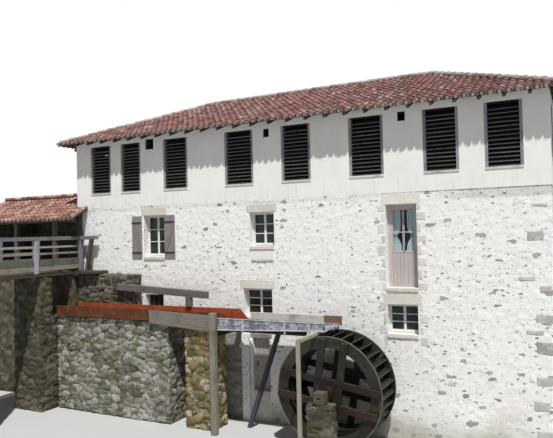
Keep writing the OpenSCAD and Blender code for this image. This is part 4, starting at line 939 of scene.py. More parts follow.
def wall_holes(side, corner, across):
    """Openings in the face of one wall, measured along it from its corner."""
    holes = []
    for node in ("window_frames", "lintels", "sills", "upper_door"):
        for box in boxes(node):
            if facing(box)[0] == side:
                left, right = sorted(sum((p[i] - corner[i]) * across[i] for i in (0, 1)) for p in box)
                inset = 0.004 if node in ("lintels", "sills") else 0.0
                holes.append((left + inset, box[0].z + inset, right - inset, box[1].z - inset))
    return holes


def build_walls():
    """Lime-washed walls with their stones standing out, the rendered loft walls and the floors."""
    for material, nodes in (
            (PLAIN_LIMEWASH, ("front_wall_lower_left", "front_wall_lower_right", "front_wall",
                              "back_wall", "left_wall", "right_wall")),
            (RENDER, ("loft_front_wall", "loft_back_wall", "loft_end_walls")),
            (MASONRY, ("ground_floor",)),
            (FLOOR_WOOD, ("first_floor", "loft_floor")),
            (GRANITE, ("door_threshold",))):
        for node in nodes:
            dress(node, material)

    long = WALL_RIGHT - WALL_LEFT
    deep = BACK_Y - FRONT_Y
    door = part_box("door_threshold")
    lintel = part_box("door_lintel")
    doorway = [(door[0].x - WALL_LEFT, 0, door[1].x - WALL_LEFT, lintel[0].z),
               (lintel[0].x - WALL_LEFT, lintel[0].z, lintel[1].x - WALL_LEFT, lintel[1].z)]
    for side, corner, across, width, more_holes, grid, salt, wear in (
            ("front", (WALL_LEFT, FRONT_Y, 0), (1, 0, 0), long, doorway, FRONT_GRID, 0.0, front_wear),
            ("back", (WALL_RIGHT, BACK_Y, 0), (-1, 0, 0), long, [], WALL_GRID, 3.0, clean),
            ("left", (WALL_LEFT, BACK_Y, 0), (0, -1, 0), deep, [], WALL_GRID, 5.0, clean),
            ("right", (WALL_RIGHT, FRONT_Y, 0), (0, 1, 0), deep, [], WALL_GRID, 7.0, clean)):
        holes = wall_holes(side, corner, across) + more_holes
        rubble_skin(side + "_rubble", corner, across, width, LOFT_Z, holes, grid, salt, wear)


def build_dressed_stone():
    """Lintels and sills of granite."""
    pile = Pile()
    for node in ("lintels", "sills"):
        for box in boxes(node):
            _, place, width, depth, height = facing(box)
            pile.stone((0, 0.003, 0), (width, depth, height), 0.012, 0.006, None, 0, place)
    pile.piece("lintels_and_sills", [GRANITE], "mill", "dressed_stone", ["lintels", "sills"])


# (low, high) of the stones beside the tall bay, and (left, right, low, high) of those in the wall
JAMB_ROWS = [(2.66, 2.96), (2.98, 3.24), (3.27, 3.61), (3.64, 3.92), (4.20, 4.47), (4.50, 4.86),
             (4.89, 5.17), (5.20, 5.53), (5.56, 5.81), (5.84, 6.15), (6.18, 6.45), (6.47, 6.69)]
WALL_STONES = [(7.63, 8.07, 6.43, 6.57), (7.51, 7.95, 5.57, 5.86), (7.28, 7.72, 4.54, 4.70),
               (7.79, 8.11, 4.26, 4.46), (7.67, 8.11, 3.46, 3.73), (7.43, 7.87, 3.15, 3.31),
               (7.65, 8.09, 2.66, 3.02), (7.64, 8.08, 1.86, 2.13), (7.55, 7.99, 1.20, 1.50),
               (7.60, 8.04, 0.40, 0.75), (5.40, 5.65, 1.64, 1.80), (5.12, 5.39, 1.40, 1.54),
               (5.41, 5.66, 6.10, 6.26), (6.73, 6.91, 5.06, 5.15)]


def build_stonework():
    """Jamb stones of the tall bay, stones in the wall, and the panel under the middle window."""
    pile = Pile()
    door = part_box("upper_door")
    face = FRONT_Y - 0.012
    depth = FRONT_Y + 0.12
    left_jamb = door[0].x - 0.004
    right_jamb = door[1].x + 0.004
    for number, (base, top) in enumerate(JAMB_ROWS):
        reach = 0.24 if number % 2 else 0.13
        pile.stone((left_jamb - reach, face, base), (left_jamb, depth, top), 0.03, 0.006, None, 2)
        reach = 0.13 if number % 2 else 0.26
        pile.stone((right_jamb, face, base + 0.03), (right_jamb + reach, depth, top), 0.03, 0.006, None, 2)
    for left, right, base, top in WALL_STONES:
        pile.stone((left, face, base), (right, depth, top), 0.06, 0.012)
    front_sills = [b for b in boxes("sills") if b[0].z > 5 and facing(b)[0] == "front"]
    sill = min(front_sills, key=lambda b: abs(b[0].x))
    low = sill[0].z - 0.33
    pile.block((sill[0].x + 0.03, FRONT_Y - 0.016, low),
               (sill[1].x - 0.03, FRONT_Y + 0.02, sill[0].z - 0.004), 0.008, None, 1, None, 0.004)
    for number in range(4):
        left = sill[0].x + 0.05 + number * 0.2
        pile.stone((left, FRONT_Y - 0.022, low - 0.075), (left + 0.185, FRONT_Y + 0.05, low - 0.01),
                   0.015, 0.01, 0.0)
    pile.piece("corner_stones", [CORNER_STONE, RENDER, JAMB_STONE], "mill", "dressed_stone")


# Roofs


def tile_column(count, radius, rise, sides=12, thick=0.012):
    """A mesh of one column of cover tiles, and the number of vertices of one tile."""
    shape = new_shape()
    bmesh.ops.create_cone(shape, cap_ends=False, segments=sides, radius1=radius, radius2=radius * 0.82,
                          depth=TILE_LENGTH, matrix=Matrix.Rotation(-math.pi / 2, 4, "X"))
    cut_off(shape, (0, 0, 0.001), (0, 0, 1), "clear_inner")
    bmesh.ops.scale(shape, vec=(1, 1, rise), verts=shape.verts)
    turn_out(shape, Vector((0, 0, 1)))
    bmesh.ops.solidify(shape, geom=shape.faces[:], thickness=thick)
    bmesh.ops.recalc_face_normals(shape, faces=shape.faces)
    bmesh.ops.translate(shape, vec=(0, TILE_LENGTH / 2, 0), verts=shape.verts)
    bmesh.ops.rotate(shape, cent=(0, TILE_LENGTH, 0), matrix=Matrix.Rotation(-TILE_TILT, 3, "X"),
                     verts=shape.verts)
    pale_end = shape.verts.layers.float["bare"]
    for vert in shape.verts:
        vert[pale_end] = 1.0 if vert.co.y < TILE_LENGTH / 2 else 0.0
    size = len(shape.verts)
    single = bpy.data.meshes.new("tile")
    shape.to_mesh(single)
    for number in range(1, count):
        start = len(shape.verts)
        shape.from_mesh(single)
        shape.verts.ensure_lookup_table()
        for vert in shape.verts[start:]:
            vert.co.y += number * TILE_COURSE
    bpy.data.meshes.remove(single)
    return mesh_of(shape, "tile_column"), size


def lay_tiles(shape, column, size, columns, start, lift, shake, paint):
    """Puts the columns side by side, each tile a little out of place."""
    layer = shape.verts.layers.float["tone"]
    for number in range(columns):
        first = len(shape.verts)
        face_first = len(shape.faces)
        shape.from_mesh(column)
        shape.verts.ensure_lookup_table()
        shape.faces.ensure_lookup_table()
        for face in shape.faces[face_first:]:
            face.material_index = paint
        verts = shape.verts[first:]
        shift = random.uniform(-0.4, 0.4) * shake
        for tile in range(len(verts) // size):
            tone = random.random()
            move = Vector((start + number * TILE_PITCH + shift + random.uniform(-1, 1) * shake,
                           random.uniform(-1, 1) * shake * 1.6,
                           lift + random.uniform(-0.3, 1) * shake * 0.5))
            spin = Matrix.Rotation(random.uniform(-1, 1) * shake * 3, 3, "Z")
            pivot = Vector((0, tile * TILE_COURSE, 0))
            for vert in verts[tile * size:(tile + 1) * size]:
                vert.co = spin @ (vert.co - pivot) + pivot + move
                vert[layer] = tone
    bpy.data.meshes.remove(column)


def tiled_slope(name, width, length, angle, place, cuts, nodes, paints):
    """One roof slope: boards below, pan and cover tiles, and mortared ends along the eave."""
    shape = new_shape()
    rows = math.ceil(length / TILE_COURSE) + 1
    columns = int(width / TILE_PITCH) + 1
    start = (width - (columns - 1) * TILE_PITCH) / 2
    lay_tiles(shape, *tile_column(rows, TILE_PITCH * 0.385, COVER_RISE), columns, start, 0.045, 0.006, 0)
    bmesh.ops.translate(shape, vec=(0, 0.025, 0), verts=shape.verts)
    covers = len(shape.verts)
    # The pans take paint 3, the dark pan colour of painted shade.
    lay_tiles(shape, *tile_column(rows, TILE_PITCH * 0.40, PAN_RISE, 8, 0.01), columns - 1,
              start + TILE_PITCH / 2, 0.0, 0.004, 3)
    shape.verts.ensure_lookup_table()
    pans = shape.verts[covers:]
    for vert in pans:
        vert.co.z = 0.082 - vert.co.z
    bmesh.ops.reverse_faces(shape, faces=list({f for v in pans for f in v.link_faces}))
    for vert in shape.verts:
        vert.co.z += 0.008 * noise.noise(Vector((vert.co.x * 0.35, vert.co.y * 0.5, len(name))))
    pile = Pile()
    # The boards take paint 2, the eaves timber painted dark as shade.
    boards = int(length / ROOF_BOARD) + 1
    for number in range(boards):
        low = max(0.085, number * length / boards + 0.002)
        pile.block((0, low, 0), (width, (number + 1) * length / boards - 0.002, 0.02), 0.003, None, 2)
    for number in range(columns):
        at = start + number * TILE_PITCH
        radius = 0.066 * random.uniform(0.86, 1.08)
        pile.rod((at, random.uniform(0.058, 0.066), 0.058), (at, 0.12, 0.064), radius, 12, None, 1, 0.74)
    pile.pour(shape)
    edges = [((0, 0, 0), (0, -math.cos(angle), math.sin(angle))), ((0, length, 0), (0, 1, 0)),
             ((0, 0, 0), (-1, 0, 0)), ((width, 0, 0), (1, 0, 0))]
    for point, normal in edges + cuts:
        cut_off(shape, point, normal)
    bmesh.ops.transform(shape, matrix=place, verts=shape.verts)
    return soften(add_piece(name, shape, paints, "mill", nodes), 50)


def slope_frame(corner, across, up_plan, pitch_angle):
    """Matrix from a slope's own frame (across, up the slope, out of it) to the mill's."""
    across = Vector(across)
    up = Vector(up_plan) * math.cos(pitch_angle) + Vector((0, 0, math.sin(pitch_angle)))
    return frame_at(across, up, across.cross(up), corner)


def cap_row(pile, start, end, radius, course, paint, bed_paint):
    """Half-round cap tiles that overlap along a ridge or hip, on a bed of mortar."""
    start = Vector(start)
    end = Vector(end)
    line = end - start
    along = line.normalized()
    side = along.cross(Vector((0, 0, 1))).normalized()
    up = side.cross(along)
    count = max(1, round(line.length / course))
    step = line.length / count
    for number in range(count):
        at = start + along * step * (number + 0.5)
        made = bmesh.ops.create_cone(pile.small, cap_ends=True, segments=14,
                                     radius1=radius * random.uniform(0.97, 1.03),
                                     radius2=radius * 0.84, depth=step * 1.22)["verts"]
        tilt = Matrix.Rotation(0.035 + random.uniform(-0.008, 0.008), 4, "X")
        bmesh.ops.transform(pile.small, matrix=frame_at(side, up, along, at) @ tilt, verts=made)
        pile.mark(made, None, paint)
    # The bed takes bed_paint; both roofs give it the dark pan colour, painted shade under the caps.
    beds = max(1, round(line.length / 0.5))
    for number in range(beds):
        low = line.length * number / beds
        top = -0.02 + random.uniform(-0.01, 0.005)
        pile.block((-radius, -0.07, low), (radius, top, line.length * (number + 1) / beds + 0.01), 0.02,
                   None, bed_paint, frame_at(side, up, along, start))


def build_main_roof():
    """Four tiled slopes between their hips, with cap tiles on the hips and the ridge."""
    run = RIDGE_Y - ROOF_LOW.y
    angle = math.atan2(ROOF_RISE, run)
    length = math.hypot(run, ROOF_RISE)
    left = ROOF_LOW.x
    right = ROOF_HIGH.x
    low = ROOF_LOW.z
    wide = right - left
    deep = ROOF_BACK_Y - ROOF_LOW.y
    paints = [TILES, MORTAR, SHADED_EAVES_WOOD, SHADED_PAN_TILES]

    def hips(width):
        """Cuts along the two hips, upright in the mill."""
        return [((0, 0, 0), (-1, math.cos(angle), -math.sin(angle))),
                ((width, 0, 0), (1, math.cos(angle), -math.sin(angle)))]

    for name, width, corner, across, up, node in (
            ("front", wide, (left, ROOF_LOW.y, low), (1, 0, 0), (0, 1, 0), "roof_front"),
            ("back", wide, (right, ROOF_BACK_Y, low), (-1, 0, 0), (0, -1, 0), "roof_back"),
            ("right", deep, (right, ROOF_LOW.y, low), (0, 1, 0), (-1, 0, 0), "roof_ends"),
            ("left", deep, (left, ROOF_BACK_Y, low), (0, -1, 0), (1, 0, 0), "roof_ends")):
        tiled_slope("roof_tiles_" + name, width, length, angle, slope_frame(corner, across, up, angle),
                    hips(width), [node], paints)

    pile = Pile()
    lift = ROOF_SLAB - 0.02
    top = low + ROOF_RISE + lift
    inset = 0.12
    foot = low + inset * math.tan(angle) + lift
    cap_row(pile, (-RIDGE_X, RIDGE_Y, top), (RIDGE_X, RIDGE_Y, top), CAP_RADIUS, CAP_COURSE, 0, 1)
    for x_eave, x_ridge in ((left + inset, -RIDGE_X), (right - inset, RIDGE_X)):
        for y_eave in (ROOF_LOW.y + inset, ROOF_BACK_Y - inset):
            cap_row(pile, (x_eave, y_eave, foot), (x_ridge, RIDGE_Y, top), CAP_RADIUS, CAP_COURSE, 0, 1)
    soften(pile.piece("roof_caps", [PALE_TILES, SHADED_PAN_TILES], "mill", "clay_tile", ["ridge_tiles"]), 50)
    dress("rafter_tails", BROWN_Y)


def build_shed_roof():
    """Two slopes, the front one cut askew where it meets the mill, with a pale verge."""
    low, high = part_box("shed_roof")
    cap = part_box("shed_ridge_tiles")[1]
    askew = 0.44
    verge_inset = 0.09
    verge_lift = 0.095
    ridge = (low.y + high.y) / 2
    run = ridge - low.y
    rise = high.z - low.z - SHED_SLAB
    angle = math.atan2(rise, run)
    length = math.hypot(run, rise)
    wide = high.x - low.x
    paints = [PINK_TILES, MORTAR, SHADED_EAVES_WOOD, SHADED_PAN_TILES]
    skew = askew / length
    front = slope_frame((low.x, low.y, low.z), (1, 0, 0), (0, 1, 0), angle)
    tiled_slope("shed_tiles_front", wide, length, angle, front, [((wide, 0, 0), (1, skew, 0))],
                ["shed_roof"], paints)
    back = slope_frame((high.x - askew, high.y, low.z), (-1, 0, 0), (0, -1, 0), angle)
    tiled_slope("shed_tiles_back", wide - askew, length, angle, back, [], ["shed_roof"], paints)
    pile = Pile()
    cap_row(pile, (low.x + 0.05, ridge, cap.z - 0.085), (cap.x, ridge, cap.z - 0.085), 0.08, 0.33, 0, 1)
    verge_end = (FRONT_Y - 0.03 - low.y) / math.cos(angle)
    cap_row(pile, front @ Vector((wide - verge_inset, verge_inset, verge_lift)),
            front @ Vector((wide - verge_inset - skew * verge_end, verge_end, verge_lift)),
            CAP_RADIUS, 0.30, 2, 1)
    soften(pile.piece("shed_caps", [PINK_TILES, SHADED_PAN_TILES, PALE_TILES], "mill", "clay_tile",
                      ["shed_ridge_tiles"]), 50)


# Louvres, windows and doors


def louvre(pile, place, width, depth, height):
    """One frame with sloping slats and a head painted near black as shade, a painted highlight along the
    front edge of each slat, and a pale sill.
    """
    jamb = 0.08
    sill = 0.06
    head = 0.05
    thick = 0.018
    for left in (0, width - jamb):
        pile.block((left, 0, 0), (left + jamb, depth, height), 0.006, None, 1, place)
    # The head takes the slats' painted shade.
    pile.block((jamb, 0, height - head), (width - jamb, depth, height), 0.005, 0.2, 0, place)
    pile.block((0, -0.03, 0), (width, depth, sill), 0.008, None, 2, place)
    long = depth / math.cos(SLAT_SLOPE) - 0.022
    room = height - sill - 0.066 - depth * math.tan(SLAT_SLOPE)
    for number in range(int(room / SLAT_PITCH) + 1):
        tilt = Matrix.Rotation(SLAT_SLOPE + math.radians(random.uniform(-1.5, 1.5)), 4, "X")
        sway = Matrix.Rotation(random.uniform(-0.005, 0.005), 4, "Y")
        base = sill + 0.01 + number * SLAT_PITCH
        spot = place @ Matrix.Translation((0, 0.012, base)) @ sway @ tilt
        pile.block((jamb - 0.005, 0, 0), (width - jamb + 0.005, long, thick), 0.003, None, 0, spot)
        # Painted highlight along the slat's front edge.
        pile.block((jamb, -0.006, -0.002), (width - jamb, 0.0, thick + 0.004), 0.002, None, 3, spot)


def build_louvres():
    """The louvres of the loft on all four sides."""
    materials = [SHADED_SLAT_WOOD, JAMB_WOOD, PALE_SILL, LIT_SLAT_EDGE]
    for node in ("front_louvres", "back_louvres", "end_louvres"):
        pile = Pile()
        for box in boxes(node):
            louvre(pile, *facing(box)[1:])
        pile.piece(node + "_slats", materials, "mill", "louvre_wood", [node])


def casement(pile, place, width, depth, height, panes, paint):
    """A window of two leaves, each with its glazing bars, in the given space."""
    frame_w = 0.028
    stile = 0.038
    foot = stile * 1.5
    front = 0.008
    back = depth - 0.008
    low = frame_w + 0.012
    top = height - frame_w - 0.002

    def bar(start, end, edge=0.004):
        """One bar of the window."""
        pile.block(start, end, edge, None, paint, place)

    bar((0, 0, 0), (frame_w, depth, height))
    bar((width - frame_w, 0, 0), (width, depth, height))
    bar((frame_w, 0, height - frame_w), (width - frame_w, depth, height))
    bar((frame_w, 0, 0), (width - frame_w, depth, frame_w + 0.01))
    leaf = (width - 2 * frame_w) / 2
    for side in (0, 1):
        left = frame_w + side * leaf + 0.002
        right = left + leaf - 0.004
        bar((left, front, low), (left + stile, back, top))
        bar((right - stile, front, low), (right, back, top))
        bar((left + stile, front, top - stile), (right - stile, back, top))
        bar((left + stile, front, low), (right - stile, back, low + foot))
        for number in range(1, panes):
            at = low + foot + (top - stile * 2.5 - low) * number / panes
            bar((left + stile, front + 0.006, at - 0.013), (right - stile, back - 0.006, at + 0.013), 0.003)
    middle = frame_w + leaf
    bar((middle - 0.018, -0.004, low), (middle + 0.018, front + 0.004, height - frame_w))
    bar((frame_w, -0.012, frame_w - 0.004), (width - frame_w, front + 0.004, frame_w + 0.034), 0.006)


def door_panes():
    """The two panes of the glazed door, left and right."""
    low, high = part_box("upper_door")
    return [b for b in boxes("window_glass")
            if low.x < b[0].x < high.x and low.z < b[0].z < high.z and b[0].y < 0]


def build_windows():
    """Casements with panes painted dark as the shade of the rooms behind them. The lowest windows have dark
    frames without bars.
    """
    pile = Pile()
    for box in boxes("window_frames"):
        _, place, width, depth, height = facing(box)
        panes, paint = (1, 1) if height < LOW_WINDOW else (3, 0)
        casement(pile, place, width, depth, height, panes, paint)
    pile.piece("casements", [WHITE, DARK_FRAME], "mill", "white_paint", ["window_frames"])
    glass = Pile()
    in_door = door_panes()
    for low, high in boxes("window_glass"):
        if (low, high) not in in_door:
            glass.block(low, high, 0)
    glass.piece("panes", [GLASS], "mill", "glass", ["window_glass"])


def build_upper_door():
    """A glazed upper part with two leaves over one boarded panel, in a frame with wide stiles."""
    low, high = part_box("upper_door")
    _, place, width, depth, height = facing((low, high))
    left, right = door_panes()
    pane_left = left[0].x - low.x
    pane_right = right[1].x - low.x
    sill = left[0].z - low.z
    head = left[1].z - low.z
    middle = (pane_left + pane_right) / 2
    back = depth - 0.012
    stile = 0.032
    panes = ((pane_left, middle - 0.028), (middle + 0.028, pane_right))
    pile = Pile()

    def bar(x, y, z, edge=0.004, tone=None):
        """A part of the door, from its spans across, inwards and up."""
        pile.block((x[0], y[0], z[0]), (x[1], y[1], z[1]), edge, tone, 0, place)

    bar((0, pane_left - 0.035), (0, depth), (0, height), 0.005, 0.1)
    bar((pane_right + 0.035, width), (0, depth), (0, height), 0.005, 0.3)
    bar((pane_left - 0.035, pane_right + 0.035), (0, depth), (height - 0.06, height), 0.005, 0.4)
    for span in ((pane_left - stile, pane_left), (pane_right, pane_right + stile),
                 (middle - 0.028, middle - 0.004), (middle + 0.004, middle + 0.028)):
        bar(span, (0.004, back), (sill - 0.03, height - 0.062))
    rail = sill + (head - sill) * 0.45
    for span in panes:
        bar(span, (0.004, back), (head, height - 0.062))
        bar(span, (0.008, back - 0.004), (rail - 0.015, rail + 0.015), 0.003)
    leaves = (pane_left - stile, pane_right + stile)
    bar(leaves, (0.004, back), (sill - 0.06, sill), 0.005)
    boards = 6
    board = (pane_right - pane_left + 2 * stile) / boards
    for number in range(boards):
        start = pane_left - stile + board * number
        bar((start + 0.002, start + board - 0.002), (0.010, 0.036), (0.02, sill - 0.06), 0.005)
    bar(leaves, (0.005, back), (0.0, 0.03))
    handle = place @ Vector((middle + 0.045, 0, sill + 0.04))
    pile.rod(handle, handle + Vector((0, -0.03, 0)), 0.012, 8, None, 1)
    pile.block(handle + Vector((-0.009, -0.045, -0.008)), handle + Vector((0.009, -0.03, 0.08)),
               0.004, None, 1)
    pile.piece("glazed_door", [TAUPE, IRON], "mill", "taupe_paint", ["upper_door"])
    glass = Pile()
    for span in panes:
        glass.block((span[0], 0.02, sill), (span[1], 0.024, head), 0, None, 0, place)
    glass.piece("door_glass", [THIN_GLASS], "mill", "glass")
    build_curtains(place, (pane_left - 0.01, pane_right + 0.01), left[1].x - left[0].x, sill - 0.02, head)


def fold_depth(width, flat, folds):
    """Depth of even folds that take up a flat width in a narrower one, found by halving."""
    low, high = 0.0, 0.2
    steps = 60
    waves = [math.sin(i / steps * folds * 2 * math.pi) for i in range(steps + 1)]
    for _ in range(24):
        depth = (low + high) / 2
        length = sum(math.hypot(width / steps, depth * (a - b)) for a, b in zip(waves, waves[1:]))
        if length < flat:
            low = depth
        else:
            high = depth
    return depth


def build_curtains(place, edges, leaf, low, top):
    """Two thin curtains behind the door's glass, each gathered to its side below the middle."""
    hang = top - low
    flat = leaf * CURTAIN_FULLNESS
    folds = 5
    depths = {}
    for name, edge, sign in (("curtain_left", edges[0], 1), ("curtain_right", edges[1], -1)):
        shape = new_shape()
        bmesh.ops.create_grid(shape, x_segments=60, y_segments=36, size=0.5)
        for vert in shape.verts:
            across = vert.co.x + 0.5
            down = 0.5 - vert.co.y
            tie = math.exp(-((down - 0.64) / 0.13) ** 2)
            width = round(leaf * (1.0 - 0.50 * tie + 0.08 * smooth(0.7, 1.0, down)), 3)
            if width not in depths:
                depths[width] = min(0.03, fold_depth(width, flat, folds))
            x = edge + sign * (across * width + 0.01 * tie)
            y = 0.075 + depths[width] * math.sin(across * folds * 2 * math.pi)
            vert.co = Vector((x, y, top - down * hang))
        bmesh.ops.transform(shape, matrix=place, verts=shape.verts)
        bmesh.ops.recalc_face_normals(shape, faces=shape.faces)
        piece = add_piece(name, shape, [CLOTH], "mill")
        piece.data.shade_smooth()


def build_shutters():
    """Boarded shutters with battens, a brace and iron straps, folded back on the wall, with painted shadow
    in thin dark strips along both sides of the brace.
    """
    pile = Pile()
    boards = 4
    batten = 0.09
    half = 0.036
    for number, box in enumerate(boxes("shutters")):
        _, _, width, depth, height = facing(box)
        place = Matrix.Translation(box[0])
        for board in range(boards):
            pile.block((width * board / boards + 0.003, 0.014, 0.0),
                       (width * (board + 1) / boards - 0.003, depth, height), 0.005, None, 0, place)
        rows = (0.19, height - 0.19 - batten)
        for at in rows:
            pile.block((0.012, 0.003, at), (width - 0.012, 0.016, at + batten), 0.004, 0.5, 0, place)
            pile.block((0.0, 0.0, at + 0.015), (width - 0.01, 0.004, at + 0.075), 0.001, None, 1, place)
        low = rows[0] + batten
        run = width - 0.12
        lean = math.atan2(run, rows[1] - low) * (1 if number else -1)
        length = math.hypot(run, rows[1] - low)
        foot = 0.06 if number else width - 0.06
        spot = place @ Matrix.Translation((foot, 0, low)) @ Matrix.Rotation(lean, 4, "Y")
        pile.block((-half, 0.002, 0.0), (half, 0.015, length), 0.004, 0.3, 0, spot)
        # Painted shadow: thin dark strips along both sides of the brace.
        for left, right in ((-half - 0.016, -half), (half, half + 0.016)):
            pile.block((left, 0.010, 0.0), (right, 0.015, length), 0.001, None, 2, spot)
    pile.piece("shutter_boards", [MAUVE, IRON, DARK_FRAME], "mill", "mauve_paint", ["shutters"])


def build_ground_door():
    """The plank door with its battens and grip, its irons and the timber over it."""
    low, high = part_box("ground_door")
    pile = Pile()
    boards = 4
    width = high.x - low.x
    for board in range(boards):
        start = low.x + width * board / boards
        pile.block((start + 0.002, low.y + 0.004, low.z + random.uniform(0, 0.01)),
                   (start + width / boards - 0.002, high.y - 0.018, high.z), 0.004)
    for at in (low.z + 0.22, low.z + 0.82, high.z - 0.32):
        pile.block((low.x + 0.03, high.y - 0.018, at), (high.x - 0.03, high.y, at + 0.11), 0.005)
    grip = Vector((low.x + 0.08, low.y, low.z + 0.81))
    pile.block(grip + Vector((-0.02, -0.003, -0.09)), grip + Vector((0.02, 0.004, 0.09)), 0.003, None, 1)
    for rise in (-0.05, 0.05):
        pile.rod(grip + Vector((0, -0.03, rise)), grip + Vector((0, 0, rise)), 0.007, 8, None, 1)
    pile.rod(grip + Vector((0, -0.03, -0.06)), grip + Vector((0, -0.03, 0.06)), 0.008, 8, None, 1)
    pile.piece("door_leaf", [DOOR_GREY, IRON], "door", "grey_wood", ["ground_door"])
    dress("door_hinges", IRON)
    dress("door_pintles", IRON)
    timber("door_head", "door_lintel", [GREY_X])


# Wheel


def on_wheel(angle):
    """Matrix that puts a shape drawn about the origin at an angle on the wheel."""
    return Matrix.Translation((WHEEL_X, 0, WHEEL_Z)) @ Matrix.Rotation(angle, 4, "Y")


def felloe_ring(pile, near, far, inner, outer, paint):
    """A ring of felloes with open joints between them."""
    span = 2 * math.pi / FELLOES
    gap = 0.006 / outer
    for number in range(FELLOES):
        flat = bmesh.ops.create_grid(pile.small, x_segments=1, y_segments=1, size=0.5)["verts"]
        bmesh.ops.scale(pile.small, vec=(outer - inner, far - near, 1), verts=flat)
        bmesh.ops.translate(pile.small, vec=((outer + inner) / 2, (near + far) / 2, 0), verts=flat)
        faces = list({f for v in flat for f in v.link_faces})
        edges = list({e for v in flat for e in v.link_edges})
        end = bmesh.ops.spin(pile.small, geom=flat + edges + faces, cent=(0, 0, 0), axis=(0, 1, 0),
                             angle=-(span - gap), steps=12, use_duplicate=False)["geom_last"]
        verts = list(joined(next(v for v in end if isinstance(v, bmesh.types.BMVert))))
        bmesh.ops.recalc_face_normals(pile.small, faces=list({f for v in verts for f in v.link_faces}))
        bmesh.ops.transform(pile.small, matrix=on_wheel(WHEEL_TURN + number * span), verts=verts)
        pile.mark(verts, None, paint)
        pile.settle()


def build_rim(node, name, paint, side):
    """One shroud: its felloes, a worn edge and iron plates over the joints. side is 1 or -1."""
    low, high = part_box(node)
    pile = Pile()
    inner = WHEEL_R - 0.32
    felloe_ring(pile, low.y + 0.003, high.y - 0.003, inner, WHEEL_R - 0.004, 0)
    face = high.y if side > 0 else low.y
    near, far = sorted((face, face - side * 0.02))
    felloe_ring(pile, near, far, WHEEL_R - 0.022, WHEEL_R - 0.001, 2)
    near, far = sorted((face, face - side * 0.006))
    for number in range(FELLOES):
        turn = on_wheel(WHEEL_TURN + number * math.pi / 4)
        for at in (inner + 0.04, WHEEL_R - 0.09):
            pile.block((at, near, -0.11), (at + 0.045, far, 0.11), 0.001, None, 1, turn)
    pile.piece(name, [paint, IRON, WORN_EDGE], "wheel", "wet_wood", [node])


def build_arms(node, name):
    """Four arms in two crossing pairs, the level pair rusty, with bolts at their ends."""
    low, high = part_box(node)
    pile = Pile()
    offset = 0.31
    half = 0.10
    reach = math.sqrt((WHEEL_R - 0.02) ** 2 - (offset + half) ** 2)
    for quarter in (0, 1):
        for side in (-1, 1):
            spot = on_wheel(WHEEL_TURN + quarter * math.pi / 2 + random.uniform(-0.004, 0.004))
            pile.block((-reach, low.y + 0.004 * quarter, side * offset - half),
                       (reach, high.y - 0.002, side * offset + half),
                       0.012, None, 0 if quarter else 2, spot, 0.006)
    for quarter in range(4):
        for side in (-1, 1):
            spot = on_wheel(WHEEL_TURN + quarter * math.pi / 2)
            for at in (WHEEL_R - 0.26, WHEEL_R - 0.12):
                pile.rod(spot @ Vector((at, low.y, side * offset)),
                         spot @ Vector((at, low.y + 0.02, side * offset)), 0.018, 8, None, 1)
    pile.piece(name, [OLIVE, IRON, RUSTY], "wheel", "wet_wood", [node])


def build_wheel():
    """Both shrouds and pairs of arms, the buckets, the shaft and its bearings."""
    build_rim("near_shroud", "near_rim", OLIVE, -1)
    build_rim("far_shroud", "far_rim", WET_N, 1)
    build_arms("near_arms", "near_arm_frame")
    build_arms("far_arms", "far_arm_frame")
    worn_copy("bucket_boards", "wheel_buckets", [WET_Y], "wheel", 0.004, 0.003)
    worn_copy("wheel_axle", "wheel_shaft", [RUSTY], "wheel", 0.008)
    dress("shaft_irons", IRON)
    worn_copy("axle_bearings", "wheel_bearings", [BROWN_Y], "mill", 0.01)


# Flume, sluice and shed


def fine_copy(node, voxel):
    """A copy of a CAD node remade with small even faces."""
    mesh = mesh_of(merged(node), "core")
    core = place_object("core", mesh)
    remesh = core.modifiers.new("fine", "REMESH")
    remesh.mode = "VOXEL"
    remesh.voxel_size = voxel
    bpy.context.view_layer.update()
    fine = bpy.data.meshes.new_from_object(core.evaluated_get(bpy.context.evaluated_depsgraph_get()))
    bpy.data.objects.remove(core)
    bpy.data.meshes.remove(mesh)
    shape = new_shape()
    shape.from_mesh(fine)
    bpy.data.meshes.remove(fine)
    return shape


def bare_masonry(name, node, paint, voxel=0.06, relief=0.035, long=0.34, high=0.17):
    """A copy of a masonry node with its stones standing out."""
    shape = fine_copy(node, voxel)
    tone = shape.verts.layers.float["tone"]
    joint = shape.verts.layers.float["joint"]
    shape.normal_update()
    moves = []
    for vert in shape.verts:
        p = vert.co
        warp = noise.noise_vector(p * 1.6) * 0.06
        at = Vector(((p.x + warp.x) / long, (p.y + warp.y) / long, (p.z + warp.z) / high))
        gaps, points = noise.voronoi(at)
        deep = smooth(0.0, 0.28, gaps[1] - gaps[0])
        vert[joint] = deep
        vert[tone] = chance(points[0])
        lift = -relief * (1 - deep) - relief * 0.8 * chance(points[0], 2.0) + 0.010 * noise.noise(p * 7)
        moves.append((vert, vert.normal * min(-0.002, lift)))
    for vert, move in moves:
        vert.co += move
    soften(add_piece(name, shape, [paint], "mill", [node]), 60)


